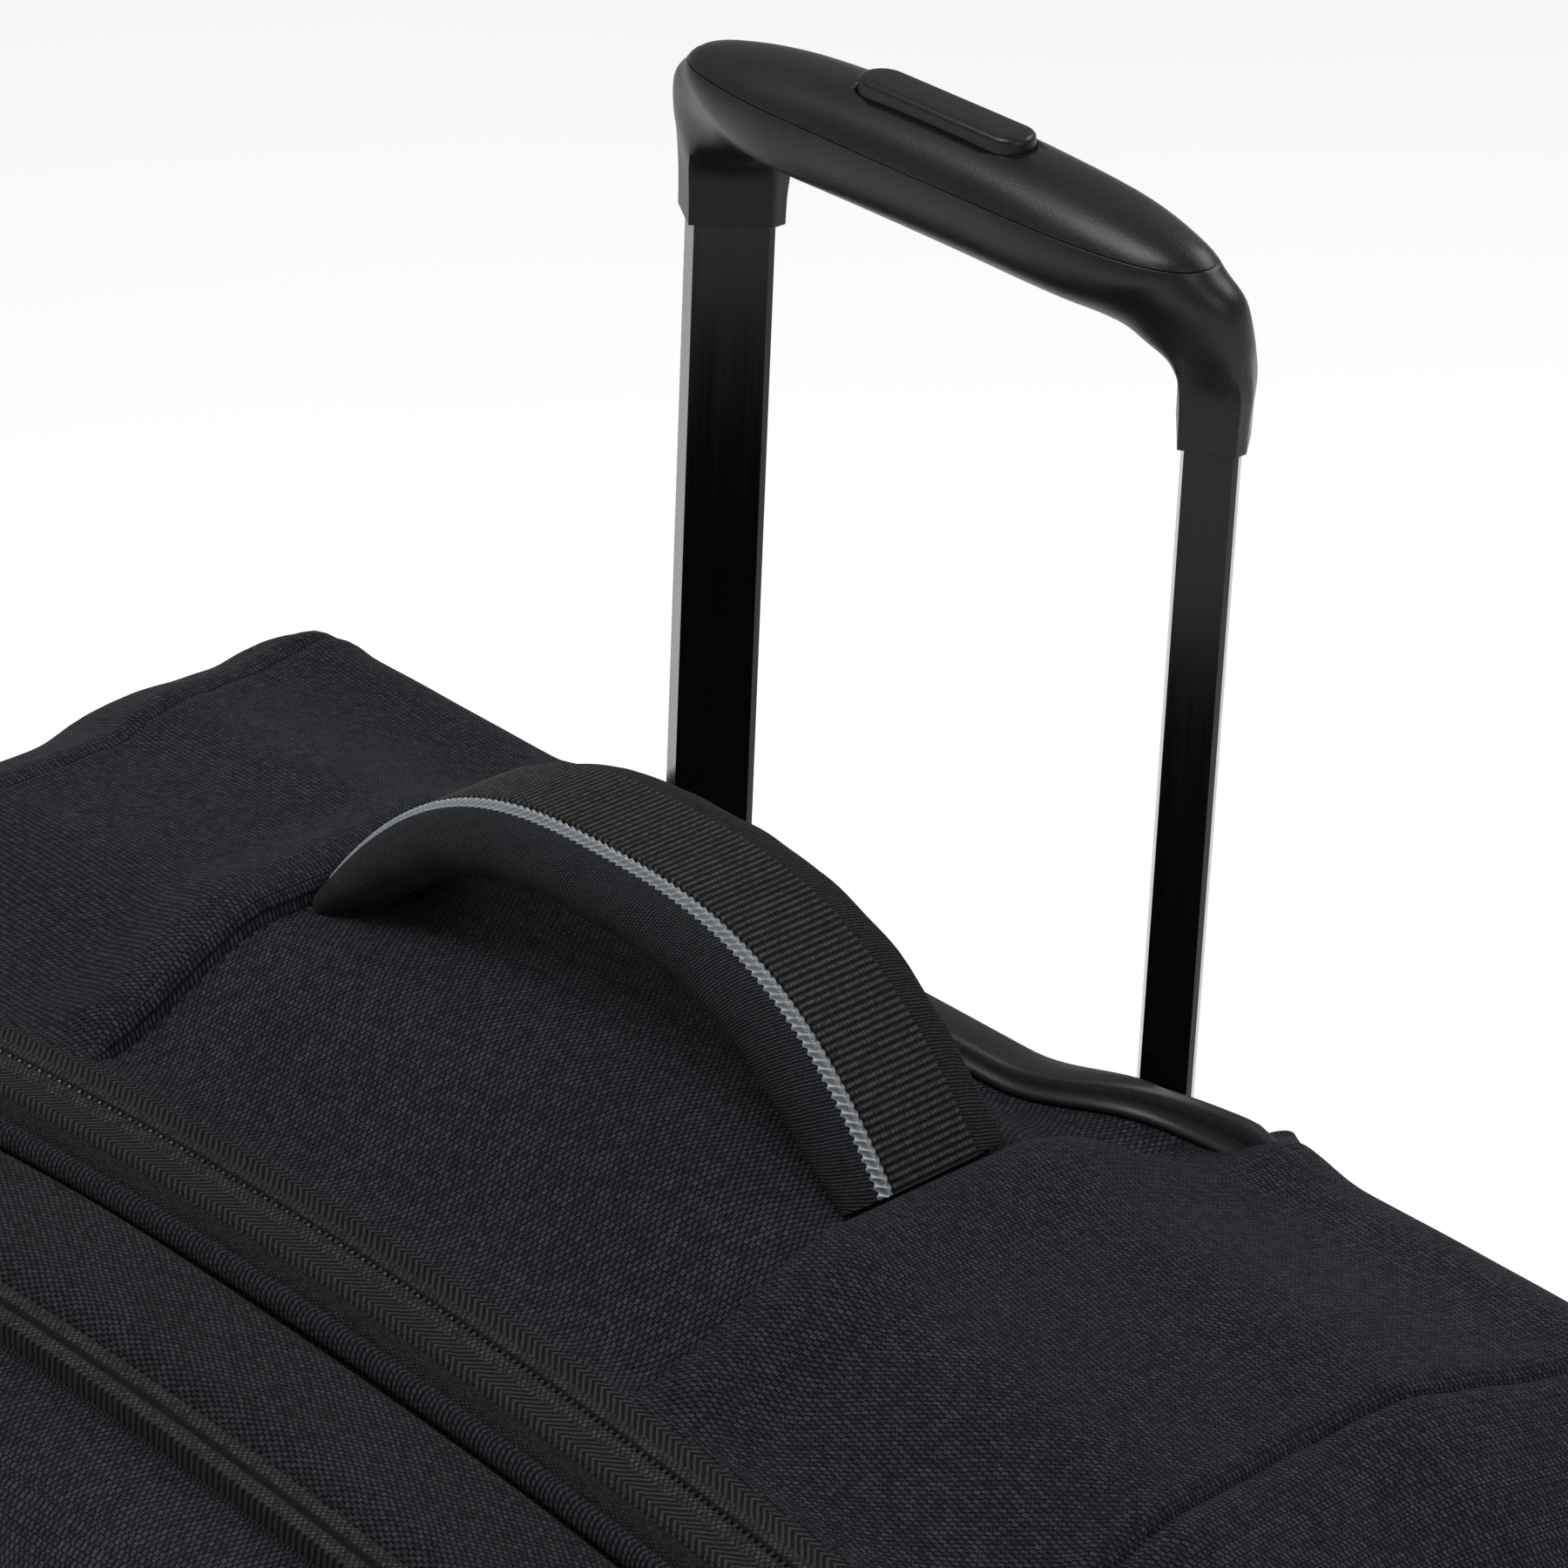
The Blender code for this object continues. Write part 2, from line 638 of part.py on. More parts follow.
def grip_rings():
    """Sections of the grip from the left collar's foot to the right one's."""
    front, back = TUBE_Y - 0.0118, TUBE_Y + 0.0148
    half = GRIP_HALF_WIDTH
    top, under = COLLAR_Z + GRIP_HEIGHT, COLLAR_Z + 0.0215
    corner = (
        # outer x, outer z, inner x, inner z, how much the bar's section has taken over
        (half - 0.0010, -0.0290, 0.0540, -0.0085, 0.25),
        (half, -0.0205, 0.0535, -0.0040, 0.60),
        (half - 0.0012, -0.0130, 0.0505, -0.0012, 0.85),
        (half - 0.0060, -0.0065, 0.0460, 0.0, 1.0),
        (half - 0.0150, -0.0028, 0.0400, 0.0002, 1.0),
    )
    left = [collar_section(0.0014, COLLAR_Z), collar_section(0.0015, COLLAR_Z + 0.0060)]
    left.append(collar_section(0.0018, COLLAR_Z + 0.0120))
    for ox, oz, ix, iz, share in corner:
        forward = front + (TUBE_Y - 0.0030 - front) * (1 - share)
        ring = grip_section((-ox, top + oz), (-ix, under + iz), forward, back, 0.75)
        base = collar_section(0.0020, COLLAR_Z + 0.0170)
        left.append(mixed(base, ring, min(share * 1.35, 1.0)))
    for x, sink in ((0.0480, 0.0012), (0.0240, 0.0003), (0.0, 0.0)):
        left.append(grip_section((-x, top - sink), (-x * 0.8, under), front, back, 0.75))
    right = [[(-x, y, z) for x, y, z in ring] for ring in left[-2::-1]]
    return left + right


def grip():
    rings = grip_rings()
    lower = loft("grip_lower_shell", rings, "moulding", smooth_angle=40)
    cover = loft("grip_top_cover", rings, "moulding", smooth_angle=40)
    above = cutter(box("above_parting", (-0.2, -0.2, PARTING_Z), (0.2, 0.4, 1.0), "moulding"))
    cut(lower, above)
    below = cutter(box("below_parting", (-0.2, -0.2, 0.5), (0.2, 0.4, PARTING_Z + GAP), "moulding"))
    cut(cover, below)
    channel = cutter(box(
        "release_channel", (-TUBE_X - 0.0010, TUBE_Y - 0.0046, COLLAR_Z + 0.0270),
        (TUBE_X + 0.0010, TUBE_Y + 0.0110, PARTING_Z + 0.01), "moulding",
    ))
    cut(lower, channel)
    for sign, side in ((-1, "left"), (1, "right")):
        socket = cutter(prism(
            f"grip_socket_{side}", tube_outline(sign, GAP), "z", COLLAR_Z - 0.01, COLLAR_Z + 0.0280, "moulding",
        ))
        cut(lower, socket)
    slot = cutter(prism(
        "button_slot", pill(BUTTON_HALF_LENGTH + GAP, BUTTON_HALF_WIDTH + GAP), "z",
        PARTING_Z - 0.01, COLLAR_Z + 0.06, "moulding",
    ))
    cut(cover, slot)


def pill(half_length, radius):
    """A round-ended outline on top of the bar, counter-clockwise."""
    straight = half_length - radius
    right = arc(straight, 0.0, radius, -90, 90, 6)
    left = arc(-straight, 0.0, radius, 90, 270, 6)
    return [(x, TUBE_Y + 0.0010 + y) for x, y in right + left]


def button_and_release():
    top = COLLAR_Z + GRIP_HEIGHT
    rings = [
        [(x, y, z) for x, y in pill(BUTTON_HALF_LENGTH - inset, BUTTON_HALF_WIDTH - inset)]
        for z, inset in ((COLLAR_Z + 0.0345, 0.0), (top + 0.0010, 0.0), (top + 0.0022, 0.0010))
    ]
    loft("release_button", rings, "moulding", smooth_angle=40)
    # The push bar lies under the button and carries both release rods down the tubes.
    bar_y = TUBE_Y + 0.0040
    box("release_bar", (-0.0690, bar_y - 0.0035, COLLAR_Z + 0.0310),
        (0.0690, bar_y + 0.0045, COLLAR_Z + 0.0340), "moulding")
    for sign, side in ((-1, "left"), (1, "right")):
        x = sign * (TUBE_X - 0.0015)
        prism(f"release_rod_{side}", circle((x, TUBE_Y + 0.0075), 0.0020, 8), "z",
              COLLAR_Z - INNER_LENGTH + 0.0160, COLLAR_Z + 0.0307, "steel", smooth_angle=60)
        # The wedge at the rod's foot draws the pin forwards, out of the next stage's hole.
        low = COLLAR_Z - INNER_LENGTH + 0.0030
        pin_x = sign * TUBE_X
        box(f"lock_pin_{side}", (pin_x - 0.0030, TUBE_Y + 0.0075, low),
            (pin_x + 0.0030, TUBE_Y + 0.0125, low + 0.0060), "steel")
        window = cutter(box(
            f"pin_window_{side}", (pin_x - 0.0034, TUBE_Y + 0.0108, low - 0.0004),
            (pin_x + 0.0034, TUBE_Y + 0.0150, low + 0.0064), "steel",
        ))
        cut(bpy.data.objects[f"inner_tube_{side}"], window)
    spring()


def spring():
    """The coil spring between the grip and the push bar."""
    turns, radius, wire = 3, 0.0030, 0.0004
    low, high = COLLAR_Z + 0.0275, COLLAR_Z + 0.0305
    count = turns * 8
    rings = []
    for i in range(count + 1):
        a = 2 * math.pi * i / 8
        z = low + (high - low) * i / count
        centre = (radius * math.cos(a), TUBE_Y + 0.0045 + radius * math.sin(a), z)
        out = (math.cos(a), math.sin(a))
        ring = []
        for k in range(4):
            b = 2 * math.pi * k / 4
            u, v = wire * math.cos(b), wire * math.sin(b)
            ring.append((centre[0] + out[0] * u, centre[1] + out[1] * u, centre[2] + v))
        rings.append(ring)
    loft("button_spring", rings, "steel", smooth_angle=60)


# Carry handles: arched straps, each a pad with a webbing over it.


def arch_point(share, half_span, rise, lift=0.0):
    """A point along an arch and its outward normal, from -1 at one end to 1 at the other."""
    x = share * half_span
    height = rise * (1 - abs(share) ** 2.3)
    slope = -rise * 2.3 * math.copysign(abs(share) ** 1.3, share) / half_span
    length = math.hypot(1.0, slope)
    normal = (-slope / length, 1.0 / length)
    return x + normal[0] * lift, height + normal[1] * lift


def arch_rings(half_span, rise, layers, steps=20):
    """Sections across an arch, thinning underneath towards its ends.

    Each layer corner is (offset along the strap's width, lift).
    """
    rings = []
    for i in range(steps + 1):
        share = -1 + 2 * i / steps
        thin = 1 - 0.75 * abs(share) ** 4
        rings.append([
            (*arch_point(share, half_span, rise, lift * (thin if lift < 0 else 1.0)), across)
            for across, lift in layers
        ])
    return rings


def top_handle():
    def place(ring):
        return [(u, across, HANDLE_END_Z + h) for u, h, across in ring]

    def strap(name, front, back, low, high, slot):
        layers = [(front, low), (back, low), (back, high), (front, high)]
        rings = [place(ring) for ring in arch_rings(HANDLE_HALF_SPAN - 0.0015, HANDLE_RISE - 0.003, layers)]
        return loft(name, rings, slot, smooth_angle=30)

    pad = HANDLE_PAD_THICKNESS
    strap("top_handle_pad", HANDLE_FRONT_Y + 0.001, HANDLE_BACK_Y - 0.001, -pad, -GAP, "trim_fabric")
    strap("top_handle_webbing", WEBBING_FRONT_Y, WEBBING_BACK_Y, 0.0, 0.0014, "webbing")
    strap("top_handle_stripe", WEBBING_FRONT_Y - 0.0036, WEBBING_FRONT_Y - GAP, 0.0, 0.0014, "stripe")
    seat_z = HANDLE_END_Z - 0.0250
    box("top_handle_stiffener", (-HANDLE_HALF_SPAN - 0.0080, HANDLE_FRONT_Y + 0.0040, seat_z),
        (HANDLE_HALF_SPAN + 0.0080, HANDLE_BACK_Y - 0.0040, seat_z + 0.0020), "board")


def side_handle():
    base = HALF_WIDTH + SIDE_SWELL + 0.0010

    def place(ring):
        return [(base + h, across, SIDE_HANDLE_Z + u) for u, h, across in ring]

    def strap(name, half_width, low, high, slot):
        layers = [(SIDE_HANDLE_Y - half_width, low), (SIDE_HANDLE_Y + half_width, low),
                  (SIDE_HANDLE_Y + half_width, high), (SIDE_HANDLE_Y - half_width, high)]
        rings = [place(ring) for ring in arch_rings(SIDE_HANDLE_HALF_SPAN, SIDE_HANDLE_RISE, layers, 14)]
        return loft(name, rings, slot, smooth_angle=30)

    strap("side_handle_pad", 0.0170, GAP, 0.0050, "trim_fabric")
    strap("side_handle_webbing", 0.0110, 0.0053, 0.0066, "webbing")


# Lid, front pocket and zips.


LID_HINGE = (-HALF_WIDTH - 0.0032, ZIP_Y, 0.0)
LID_STATIONS = [(LID_FRONT_Y + 0.0006, 0.0130), (LID_FRONT_Y + 0.0050, 0.0050),
                (LID_FRONT_Y + 0.0180, 0.0010), (ZIP_Y - 0.0200, 0.0), (ZIP_Y - 0.0006, 0.0)]


def lid():
    """The lid's frame and front as one tray, open to the back."""
    loop = inset_loop(0.0)
    outer = []
    for y, inset in LID_STATIONS:
        outer.append([(x, y, z) for x, z in offset_outline(loop, -inset)])
    inner = []
    for y, inset in reversed(LID_STATIONS):
        inner.append([(x, max(y, LID_FRONT_Y + WALL), z) for x, z in offset_outline(loop, -inset - WALL)])
    loft("lid_shell", outer + inner, "fabric", smooth_angle=35, origin=LID_HINGE)
    wire_ring("lid_frame_wire", ZIP_Y - 0.0090, LID_HINGE)


def half_zip(name, side_y, away, origin=(0.0, 0.0, 0.0)):
    """One half of the main zip: a tape that stands on the edge, with its coil along the meeting line."""
    loop = inset_loop(-GAP)
    out = offset_outline(loop, 0.0016)
    near, far = side_y, side_y + away * 0.0100
    rings = []
    for (x0, z0), (x1, z1) in zip(loop, out):
        rings.append([(x0, near, z0), (x1, near, z1), (x1, far, z1), (x0, far, z0)])
    return loft(name, rings, "zip", closed=True, smooth_angle=40, origin=origin)


def zips():
    half_zip("main_zip_body_half", ZIP_Y + GAP, 1)
    half_zip("main_zip_lid_half", ZIP_Y - GAP, -1, LID_HINGE)
    for name, z in (("lower", 0.3350), ("upper", 0.3850)):
        slider(f"main_{name}", (HALF_WIDTH + 0.0024, ZIP_Y, z))


def slider(name, at):
    """A zip slider with a bridge, and the pull tab that hangs from the bridge's pin."""
    x, y, z = at
    box(f"{name}_slider", (x, y - 0.0042, z - 0.0065), (x + 0.0024, y + 0.0042, z + 0.0065), "zip",
        origin=at, bevel=0.0008)
    pivot = (x + 0.0044, y, z)
    low, high = z - 0.0340, z + 0.0012
    outline = [(y - 0.0035, low), (y + 0.0035, low), (y + 0.0035, high), (y - 0.0035, high)]
    prism(f"{name}_pull_tab", outline, "x", x + 0.0030, x + 0.0052, "moulding", origin=pivot)


def pocket_outline(inset):
    """The front face's outline above the pocket's foot, drawn in by an inset."""
    foot = POCKET_FOOT_Z + inset
    loop = [p for p in inset_loop(inset) if p[1] > foot + 0.004]
    # The loop runs up the right side, over the top and down the left side.
    return [(loop[0][0], foot)] + loop + [(loop[-1][0], foot)]


def front_pocket():
    """The front pocket's padded flap, zipped round its top and sides and sewn along its foot."""
    back_y = LID_FRONT_Y - 0.0006
    sections = ((back_y, 0.0100), (back_y - 0.0100, 0.0085), (back_y - 0.0220, 0.0130),
                (POCKET_FRONT_Y + 0.0040, 0.0230), (POCKET_FRONT_Y, 0.0420))
    outer = [[(x, y, z) for x, z in pocket_outline(inset)] for y, inset in sections]
    inner = [
        [(x, max(y, POCKET_FRONT_Y + POCKET_WALL), z) for x, z in pocket_outline(inset + POCKET_WALL)]
        for y, inset in reversed(sections[:-1])
    ]
    loft("front_pocket_flap", outer[::-1] + inner[::-1], "fabric", smooth_angle=35,
         origin=(0.0, back_y, POCKET_FOOT_Z))
    slider("pocket", (HALF_WIDTH - 0.0040, LID_FRONT_Y - 0.0010, POCKET_SLIDER_Z))


def packing_straps():
    """The elastic strap that holds the load against the liner, and its buckle."""
    y = LINER_Y - 0.0024
    box("packing_strap", (-0.1900, y - 0.0014, 0.3180), (0.1900, y, 0.3430), "webbing")
    box("packing_buckle", (-0.0300, y - 0.0100, 0.3130), (0.0300, y - 0.0017, 0.3480), "moulding", bevel=0.0020)


clear_scene()
case_body()
back_and_liner()
wire_ring("body_frame_wire", ZIP_Y + 0.0100)
wheels()
feet_and_skids()
trolley_tubes()
top_housing()
grip()
button_and_release()
top_handle()
side_handle()
lid()
zips()
front_pocket()
packing_straps()
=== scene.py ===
"""Looks of the softside upright suitcase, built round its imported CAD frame.

Each soft CAD solid is replaced by a fabric piece in the same place. The rigid nodes are kept, with
rounded edges, or are replaced by a finer surface. All lengths are in metres.
"""

import bisect
import math

import bmesh
import bpy
from mathutils import Matrix, Vector


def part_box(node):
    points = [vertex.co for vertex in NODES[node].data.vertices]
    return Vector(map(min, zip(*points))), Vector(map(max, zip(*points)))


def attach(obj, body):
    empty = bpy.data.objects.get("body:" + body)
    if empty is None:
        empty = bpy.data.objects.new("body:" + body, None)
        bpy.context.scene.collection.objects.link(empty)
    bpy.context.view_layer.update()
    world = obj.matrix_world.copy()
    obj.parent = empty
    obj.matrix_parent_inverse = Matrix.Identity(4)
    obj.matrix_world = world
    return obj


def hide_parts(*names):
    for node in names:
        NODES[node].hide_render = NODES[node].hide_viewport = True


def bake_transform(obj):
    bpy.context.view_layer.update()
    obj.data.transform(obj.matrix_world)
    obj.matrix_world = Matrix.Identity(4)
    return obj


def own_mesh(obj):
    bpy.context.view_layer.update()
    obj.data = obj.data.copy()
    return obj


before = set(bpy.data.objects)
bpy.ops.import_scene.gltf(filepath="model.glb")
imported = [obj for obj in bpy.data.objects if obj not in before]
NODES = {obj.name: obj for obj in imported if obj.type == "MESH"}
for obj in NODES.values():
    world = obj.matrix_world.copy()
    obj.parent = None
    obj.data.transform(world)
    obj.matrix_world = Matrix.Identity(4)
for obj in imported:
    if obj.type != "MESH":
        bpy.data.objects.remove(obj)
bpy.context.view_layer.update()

MIDDLE = (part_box("trolley_housing")[0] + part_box("trolley_housing")[1]) / 2
MIDDLE = Vector((MIDDLE.x, 0.0, 0.0))


def box(node):
    """A node's lowest and highest corners, measured from the case's middle."""
    low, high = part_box(node)
    return low - MIDDLE, high - MIDDLE


# Sizes read off the frame.
LID_LOW, LID_HIGH = box("lid_shell")
SIDE_HIGH = box("side_panel_right")[1]
HOUSING_LOW, HOUSING_HIGH = box("trolley_housing")
GRIP_LOW, GRIP_HIGH = box("grip_lower_shell")
COVER_LOW, COVER_HIGH = box("grip_top_cover")
BUTTON_LOW, BUTTON_HIGH = box("release_button")
PAD_LOW = box("top_handle_pad")[0]
BELT_LOW, BELT_HIGH = box("top_handle_webbing")
FLAP_LOW, FLAP_HIGH = box("front_pocket_flap")
SIDE_PAD_LOW, SIDE_PAD_HIGH = box("side_handle_pad")
WELL_LOW, WELL_HIGH = box("wheel_housing_right")
HALF_WIDTH = LID_HIGH.x
TOP_Z = LID_HIGH.z
BOTTOM_Z = LID_LOW.z
BACK_Y = SIDE_HIGH.y
ZIP_Y = (box("main_zip_body_half")[0].y + box("main_zip_lid_half")[1].y) / 2
LID_FRONT_Y = LID_LOW.y
COLLAR_Z = GRIP_LOW.z
TUBE_Y = box("inner_tube_left")[0].y

# Sizes that the frame's boxes don't give.
TOP_ARCH = 0.50  # fall of the top edge in metres per square metre from the middle
CENTRE_SEAM_X = 0.0800
OUTER_SEAM_X = 0.1740
BOTTOM_CORNER_RADIUS = 0.036
TOP_SWELL = 0.0172
SIDE_SWELL = 0.0075
SWELL_RUN = 0.0500
LIFT_FRONT_Y = 0.0450
LIFT_BACK_Y = 0.1180
BACK_CORNER_RADIUS = 0.0365
WALL = 0.0045
BACK_ROUNDING = 0.0170
TUBE_X = 0.0685
TUBE_SECTION = (
    (0.0, 0.0), (0.0107, 0.0110), (0.0107, 0.0127), (-0.0035, 0.0127), (-0.0081, 0.0067), (-0.0081, 0.0051),
)
STAGE_STEP = 0.0013
TAPE_WIDTH = 0.0100
COIL_PITCH = 0.0032
RIB_PITCH = 0.0016
PIPING_Y = ZIP_Y - 0.0190
PIPING_RADIUS = 0.0027
BAND_BACK_Y = PIPING_Y - 0.0034
SPOKES = 5
TINY = 1e-6


# Node materials.


class Look:
    """A node material being put together."""

    def __init__(self, name, roughness, specular=0.5, sheen=0.0, coat=0.0, metallic=0.0):
        self.material = bpy.data.materials.new(name)
        self.material.use_nodes = True
        self.tree = self.material.node_tree
        self.shader = self.tree.nodes["Principled BSDF"]
        self.set("Roughness", roughness)
        self.set("Specular IOR Level", specular)
        self.set("Metallic", metallic)
        self.set("Sheen Weight", sheen)
        self.set("Sheen Roughness", 0.45)
        self.set("Coat Weight", coat)
        self.set("Coat Roughness", 0.12)

    def set(self, socket, value):
        if isinstance(value, bpy.types.NodeSocket):
            self.tree.links.new(value, self.shader.inputs[socket])
        elif socket == "Base Color":
            self.shader.inputs[socket].default_value = (*value, 1.0)
        else:
            self.shader.inputs[socket].default_value = value

    def add(self, kind, inputs=(), **settings):
        node = self.tree.nodes.new("ShaderNode" + kind)
        for key, value in settings.items():
            setattr(node, key, value)
        for key, value in dict(inputs).items():
            if isinstance(value, bpy.types.NodeSocket):
                self.tree.links.new(value, node.inputs[key])
            else:
                node.inputs[key].default_value = value
        return node

    def math(self, operation, first, second=0.0, third=0.0):
        return self.add("Math", {0: first, 1: second, 2: third}, operation=operation).outputs[0]

    def weave_uv(self, turn=0.0):
        """The weave's two distances in metres, along and across, turned by an angle."""
        source = self.add("UVMap", uv_map="weave").outputs[0]
        if turn:
            source = self.add(
                "VectorRotate", {"Vector": source, "Angle": turn}, rotation_type="Z_AXIS"
            ).outputs[0]
        split = self.add("SeparateXYZ", {0: source})
        return split.outputs[0], split.outputs[1]

    def place(self):
        return self.add("TexCoord").outputs["Object"]

    def noise(self, size, detail=2.0, where=None, roughness=0.5):
        inputs = {"Scale": 1.0 / size, "Detail": detail, "Roughness": roughness}
        inputs["Vector"] = where or self.place()
        return self.add("TexNoise", inputs).outputs["Fac"]

    def wave(self, distance, pitch, phase=0.0):
        """A smooth ridge between 0 and 1 once in each pitch."""
        angle = self.math("MULTIPLY_ADD", distance, 2 * math.pi / pitch, phase)
        return self.math("MULTIPLY_ADD", self.math("SINE", angle), 0.5, 0.5)

    def ramp(self, value, low, high, first=0.0, last=1.0):
        inputs = {"Value": value, "From Min": low, "From Max": high, "To Min": first, "To Max": last}
        return self.add("MapRange", inputs, clamp=True).outputs[0]

    def mix(self, share, first, last):
        node = self.add("Mix", {"Factor": share}, data_type="RGBA")
        for index, colour in ((6, first), (7, last)):
            if isinstance(colour, bpy.types.NodeSocket):
                self.tree.links.new(colour, node.inputs[index])
            else:
                node.inputs[index].default_value = (*colour, 1.0)
        return node.outputs[2]

    def bump(self, height, depth, strength=1.0, under=None):
        inputs = {"Height": height, "Distance": depth, "Strength": strength}
        if under:
            inputs["Normal"] = under
        normal = self.add("Bump", inputs).outputs[0]
        self.set("Normal", normal)
        return normal


def off_middle(look, value):
    """0 in the middle of each whole step of a value, and 0.5 at its ends."""
    return look.math("ABSOLUTE", look.math("SUBTRACT", look.math("FRACT", value), 0.5))


def dashes(look, u, v, pitch, length):
    """Staggered threads: 1 on a thread and 0 in the gaps, and a random value for each thread."""
    row = look.math("FLOOR", look.math("DIVIDE", v, length))
    jog = look.math("MULTIPLY", look.math("MODULO", row, 2.0), 0.5)
    column = look.math("ADD", look.math("DIVIDE", u, pitch), jog)
    across = off_middle(look, column)
    along = off_middle(look, look.math("DIVIDE", v, length))
    thread = look.math("MULTIPLY", look.ramp(across, 0.46, 0.24), look.ramp(along, 0.50, 0.42, 0.25, 1.0))
    cell = look.add("CombineXYZ", {0: look.math("FLOOR", column), 1: row}).outputs[0]
    chance = look.add("TexWhiteNoise", {"Vector": cell}, noise_dimensions="3D").outputs[0]
    return thread, chance


def woven(name, dark, light, pitch, length, fine, turn=0.0, depth=0.00030, sheen=0.02, slant=0.0):
    """A dobby weave of staggered dashes over fine cross threads."""
    look = Look(name, 0.80, specular=0.07, sheen=sheen)
    u, v = look.weave_uv(turn)
    wander = look.math("MULTIPLY", look.math("SUBTRACT", look.noise(0.012), 0.5), pitch * 0.8)
    u = look.math("ADD", look.math("ADD", u, look.math("MULTIPLY", v, slant)), wander)
    thread, chance = dashes(look, u, v, pitch, length)
    ribs = look.wave(v, fine)
    height = look.math("MULTIPLY", thread, look.math("MULTIPLY_ADD", ribs, 0.45, 0.55))
    fleck = look.math("MULTIPLY", height, look.ramp(chance, 0.0, 1.0, 0.55, 1.20))
    grain = look.noise(0.0006, 1.0)
    tone = look.math("MULTIPLY", fleck, look.ramp(grain, 0.35, 0.70, 0.45, 1.15))
    cloud = look.ramp(look.noise(0.09, 3.0), 0.3, 0.7, 0.86, 1.14)
    colour = look.mix(look.math("MULTIPLY", tone, cloud), dark, light)
    look.set("Base Color", colour)
    look.set("Roughness", look.ramp(height, 0.0, 1.0, 0.90, 0.66))
    look.bump(height, depth)
    return look.material


def knitted(name, dark, light, pitch=0.00075, depth=0.00020):
    """A fine knit of slanting ribs."""
    look = Look(name, 0.80, specular=0.08, sheen=0.02)
    u, v = look.weave_uv()
    wander = look.math("MULTIPLY", look.noise(0.006), pitch * 1.2)
    ribs = look.wave(look.math("ADD", look.math("MULTIPLY_ADD", v, 0.25, u), wander), pitch)
    loops = look.wave(look.math("MULTIPLY_ADD", u, 0.5, v), pitch * 0.9)
    height = look.math("MULTIPLY", ribs, look.math("MULTIPLY_ADD", loops, 0.6, 0.4))
    height = look.ramp(height, 0.08, 0.75)
    tone = look.math("MULTIPLY", height, look.ramp(look.noise(0.0009, 1.0), 0.3, 0.7, 0.5, 1.2))
    look.set("Base Color", look.mix(tone, dark, light))
    look.bump(height, depth)
    return look.material


def ribbed_webbing(name, dark, light):
    """Bead-like threads along the ribs that the mesh already has."""
    look = Look(name, 0.60, specular=0.14, sheen=0.02)
    u, v = look.weave_uv()
    ribs = look.ramp(look.wave(u, RIB_PITCH, math.pi / 2), 0.12, 0.75)
    beads = look.wave(v, 0.00095)
    chance = look.ramp(look.noise(0.0012, 1.0), 0.35, 0.70, 0.45, 1.25)
    body = look.math("MULTIPLY", ribs, look.math("MULTIPLY_ADD", beads, 0.65, 0.35))
    look.set("Base Color", look.mix(look.math("MULTIPLY", body, chance), dark, light))
    look.bump(body, 0.00030)
    return look.material


def braided(name):
    """The chunky pale braid of the handle's stripe."""
    look = Look(name, 0.50, specular=0.35, sheen=0.05)
    u, v = look.weave_uv()
    fold = look.math("ABSOLUTE", v)
    strands = look.wave(look.math("MULTIPLY_ADD", fold, 1.1, u), 0.0019)
    fibres = look.wave(look.math("MULTIPLY_ADD", fold, -1.1, u), 0.00050)
    height = look.math("MULTIPLY_ADD", strands, 0.75, look.math("MULTIPLY", fibres, 0.25))
    tone = look.math("MULTIPLY", height, look.ramp(look.noise(0.0008, 1.0), 0.3, 0.7, 0.75, 1.15))
    look.set("Base Color", look.mix(tone, (0.16, 0.18, 0.20), (0.66, 0.70, 0.74)))
    look.bump(height, 0.00045)
    return look.material


def herringbone(name):
    """The zip's tape: chunky beside the coil, then a bold herringbone, with painted shade next to the coil.
    """
    look = Look(name, 0.70, specular=0.10, sheen=0.02)
    u, v = look.weave_uv()
    wander = look.math("MULTIPLY", look.noise(0.004), 0.0008)
    fold = look.math("PINGPONG", look.math("SUBTRACT", v, 0.0040), 0.0040)
    lines = look.wave(look.math("ADD", look.math("MULTIPLY_ADD", fold, 1.0, u), wander), 0.00170)
    threads = look.wave(v, 0.00060)
    knots, chance = dashes(look, u, v, 0.00130, 0.00085)
    near_coil = look.ramp(v, 0.0036, 0.0044, 1.0, 0.0)
    flat = look.math("MULTIPLY", look.ramp(lines, 0.30, 0.75), look.math("MULTIPLY_ADD", threads, 0.5, 0.5))
    rough = look.math("MULTIPLY", knots, look.ramp(chance, 0.0, 1.0, 0.35, 1.2))
    height = look.add("Mix", {"Factor": near_coil, 2: flat, 3: rough}).outputs[0]
    tone = look.math("MULTIPLY", height, look.ramp(look.noise(0.0007, 1.0), 0.3, 0.7, 0.6, 1.15))
    # Painted shade: the tape turns black in its last millimetre beside and under the coil, where the teeth
    # shade it.
    tone = look.math("MULTIPLY", tone, look.ramp(v, 0.0006, 0.0014))
    look.set("Base Color", look.mix(tone, (0.0045, 0.0048, 0.0052), (0.050, 0.053, 0.056)))
    look.bump(height, 0.00030)
    return look.material


def space_mesh(name):
    """The open 3-D mesh under the handle."""
    look = Look(name, 0.75, specular=0.08)
    u, v = look.weave_uv()
    holes = look.math("MULTIPLY", look.wave(u, 0.0030), look.wave(v, 0.0024))
    fuzz = look.noise(0.0009, 3.0)
    height = look.math("MULTIPLY_ADD", fuzz, 0.6, look.math("MULTIPLY", holes, 0.6))
    dark, light = (0.003, 0.003, 0.003), (0.040, 0.042, 0.042)
    look.set("Base Color", look.mix(look.ramp(height, 0.3, 0.9), dark, light))
    look.bump(height, 0.0007)
    return look.material


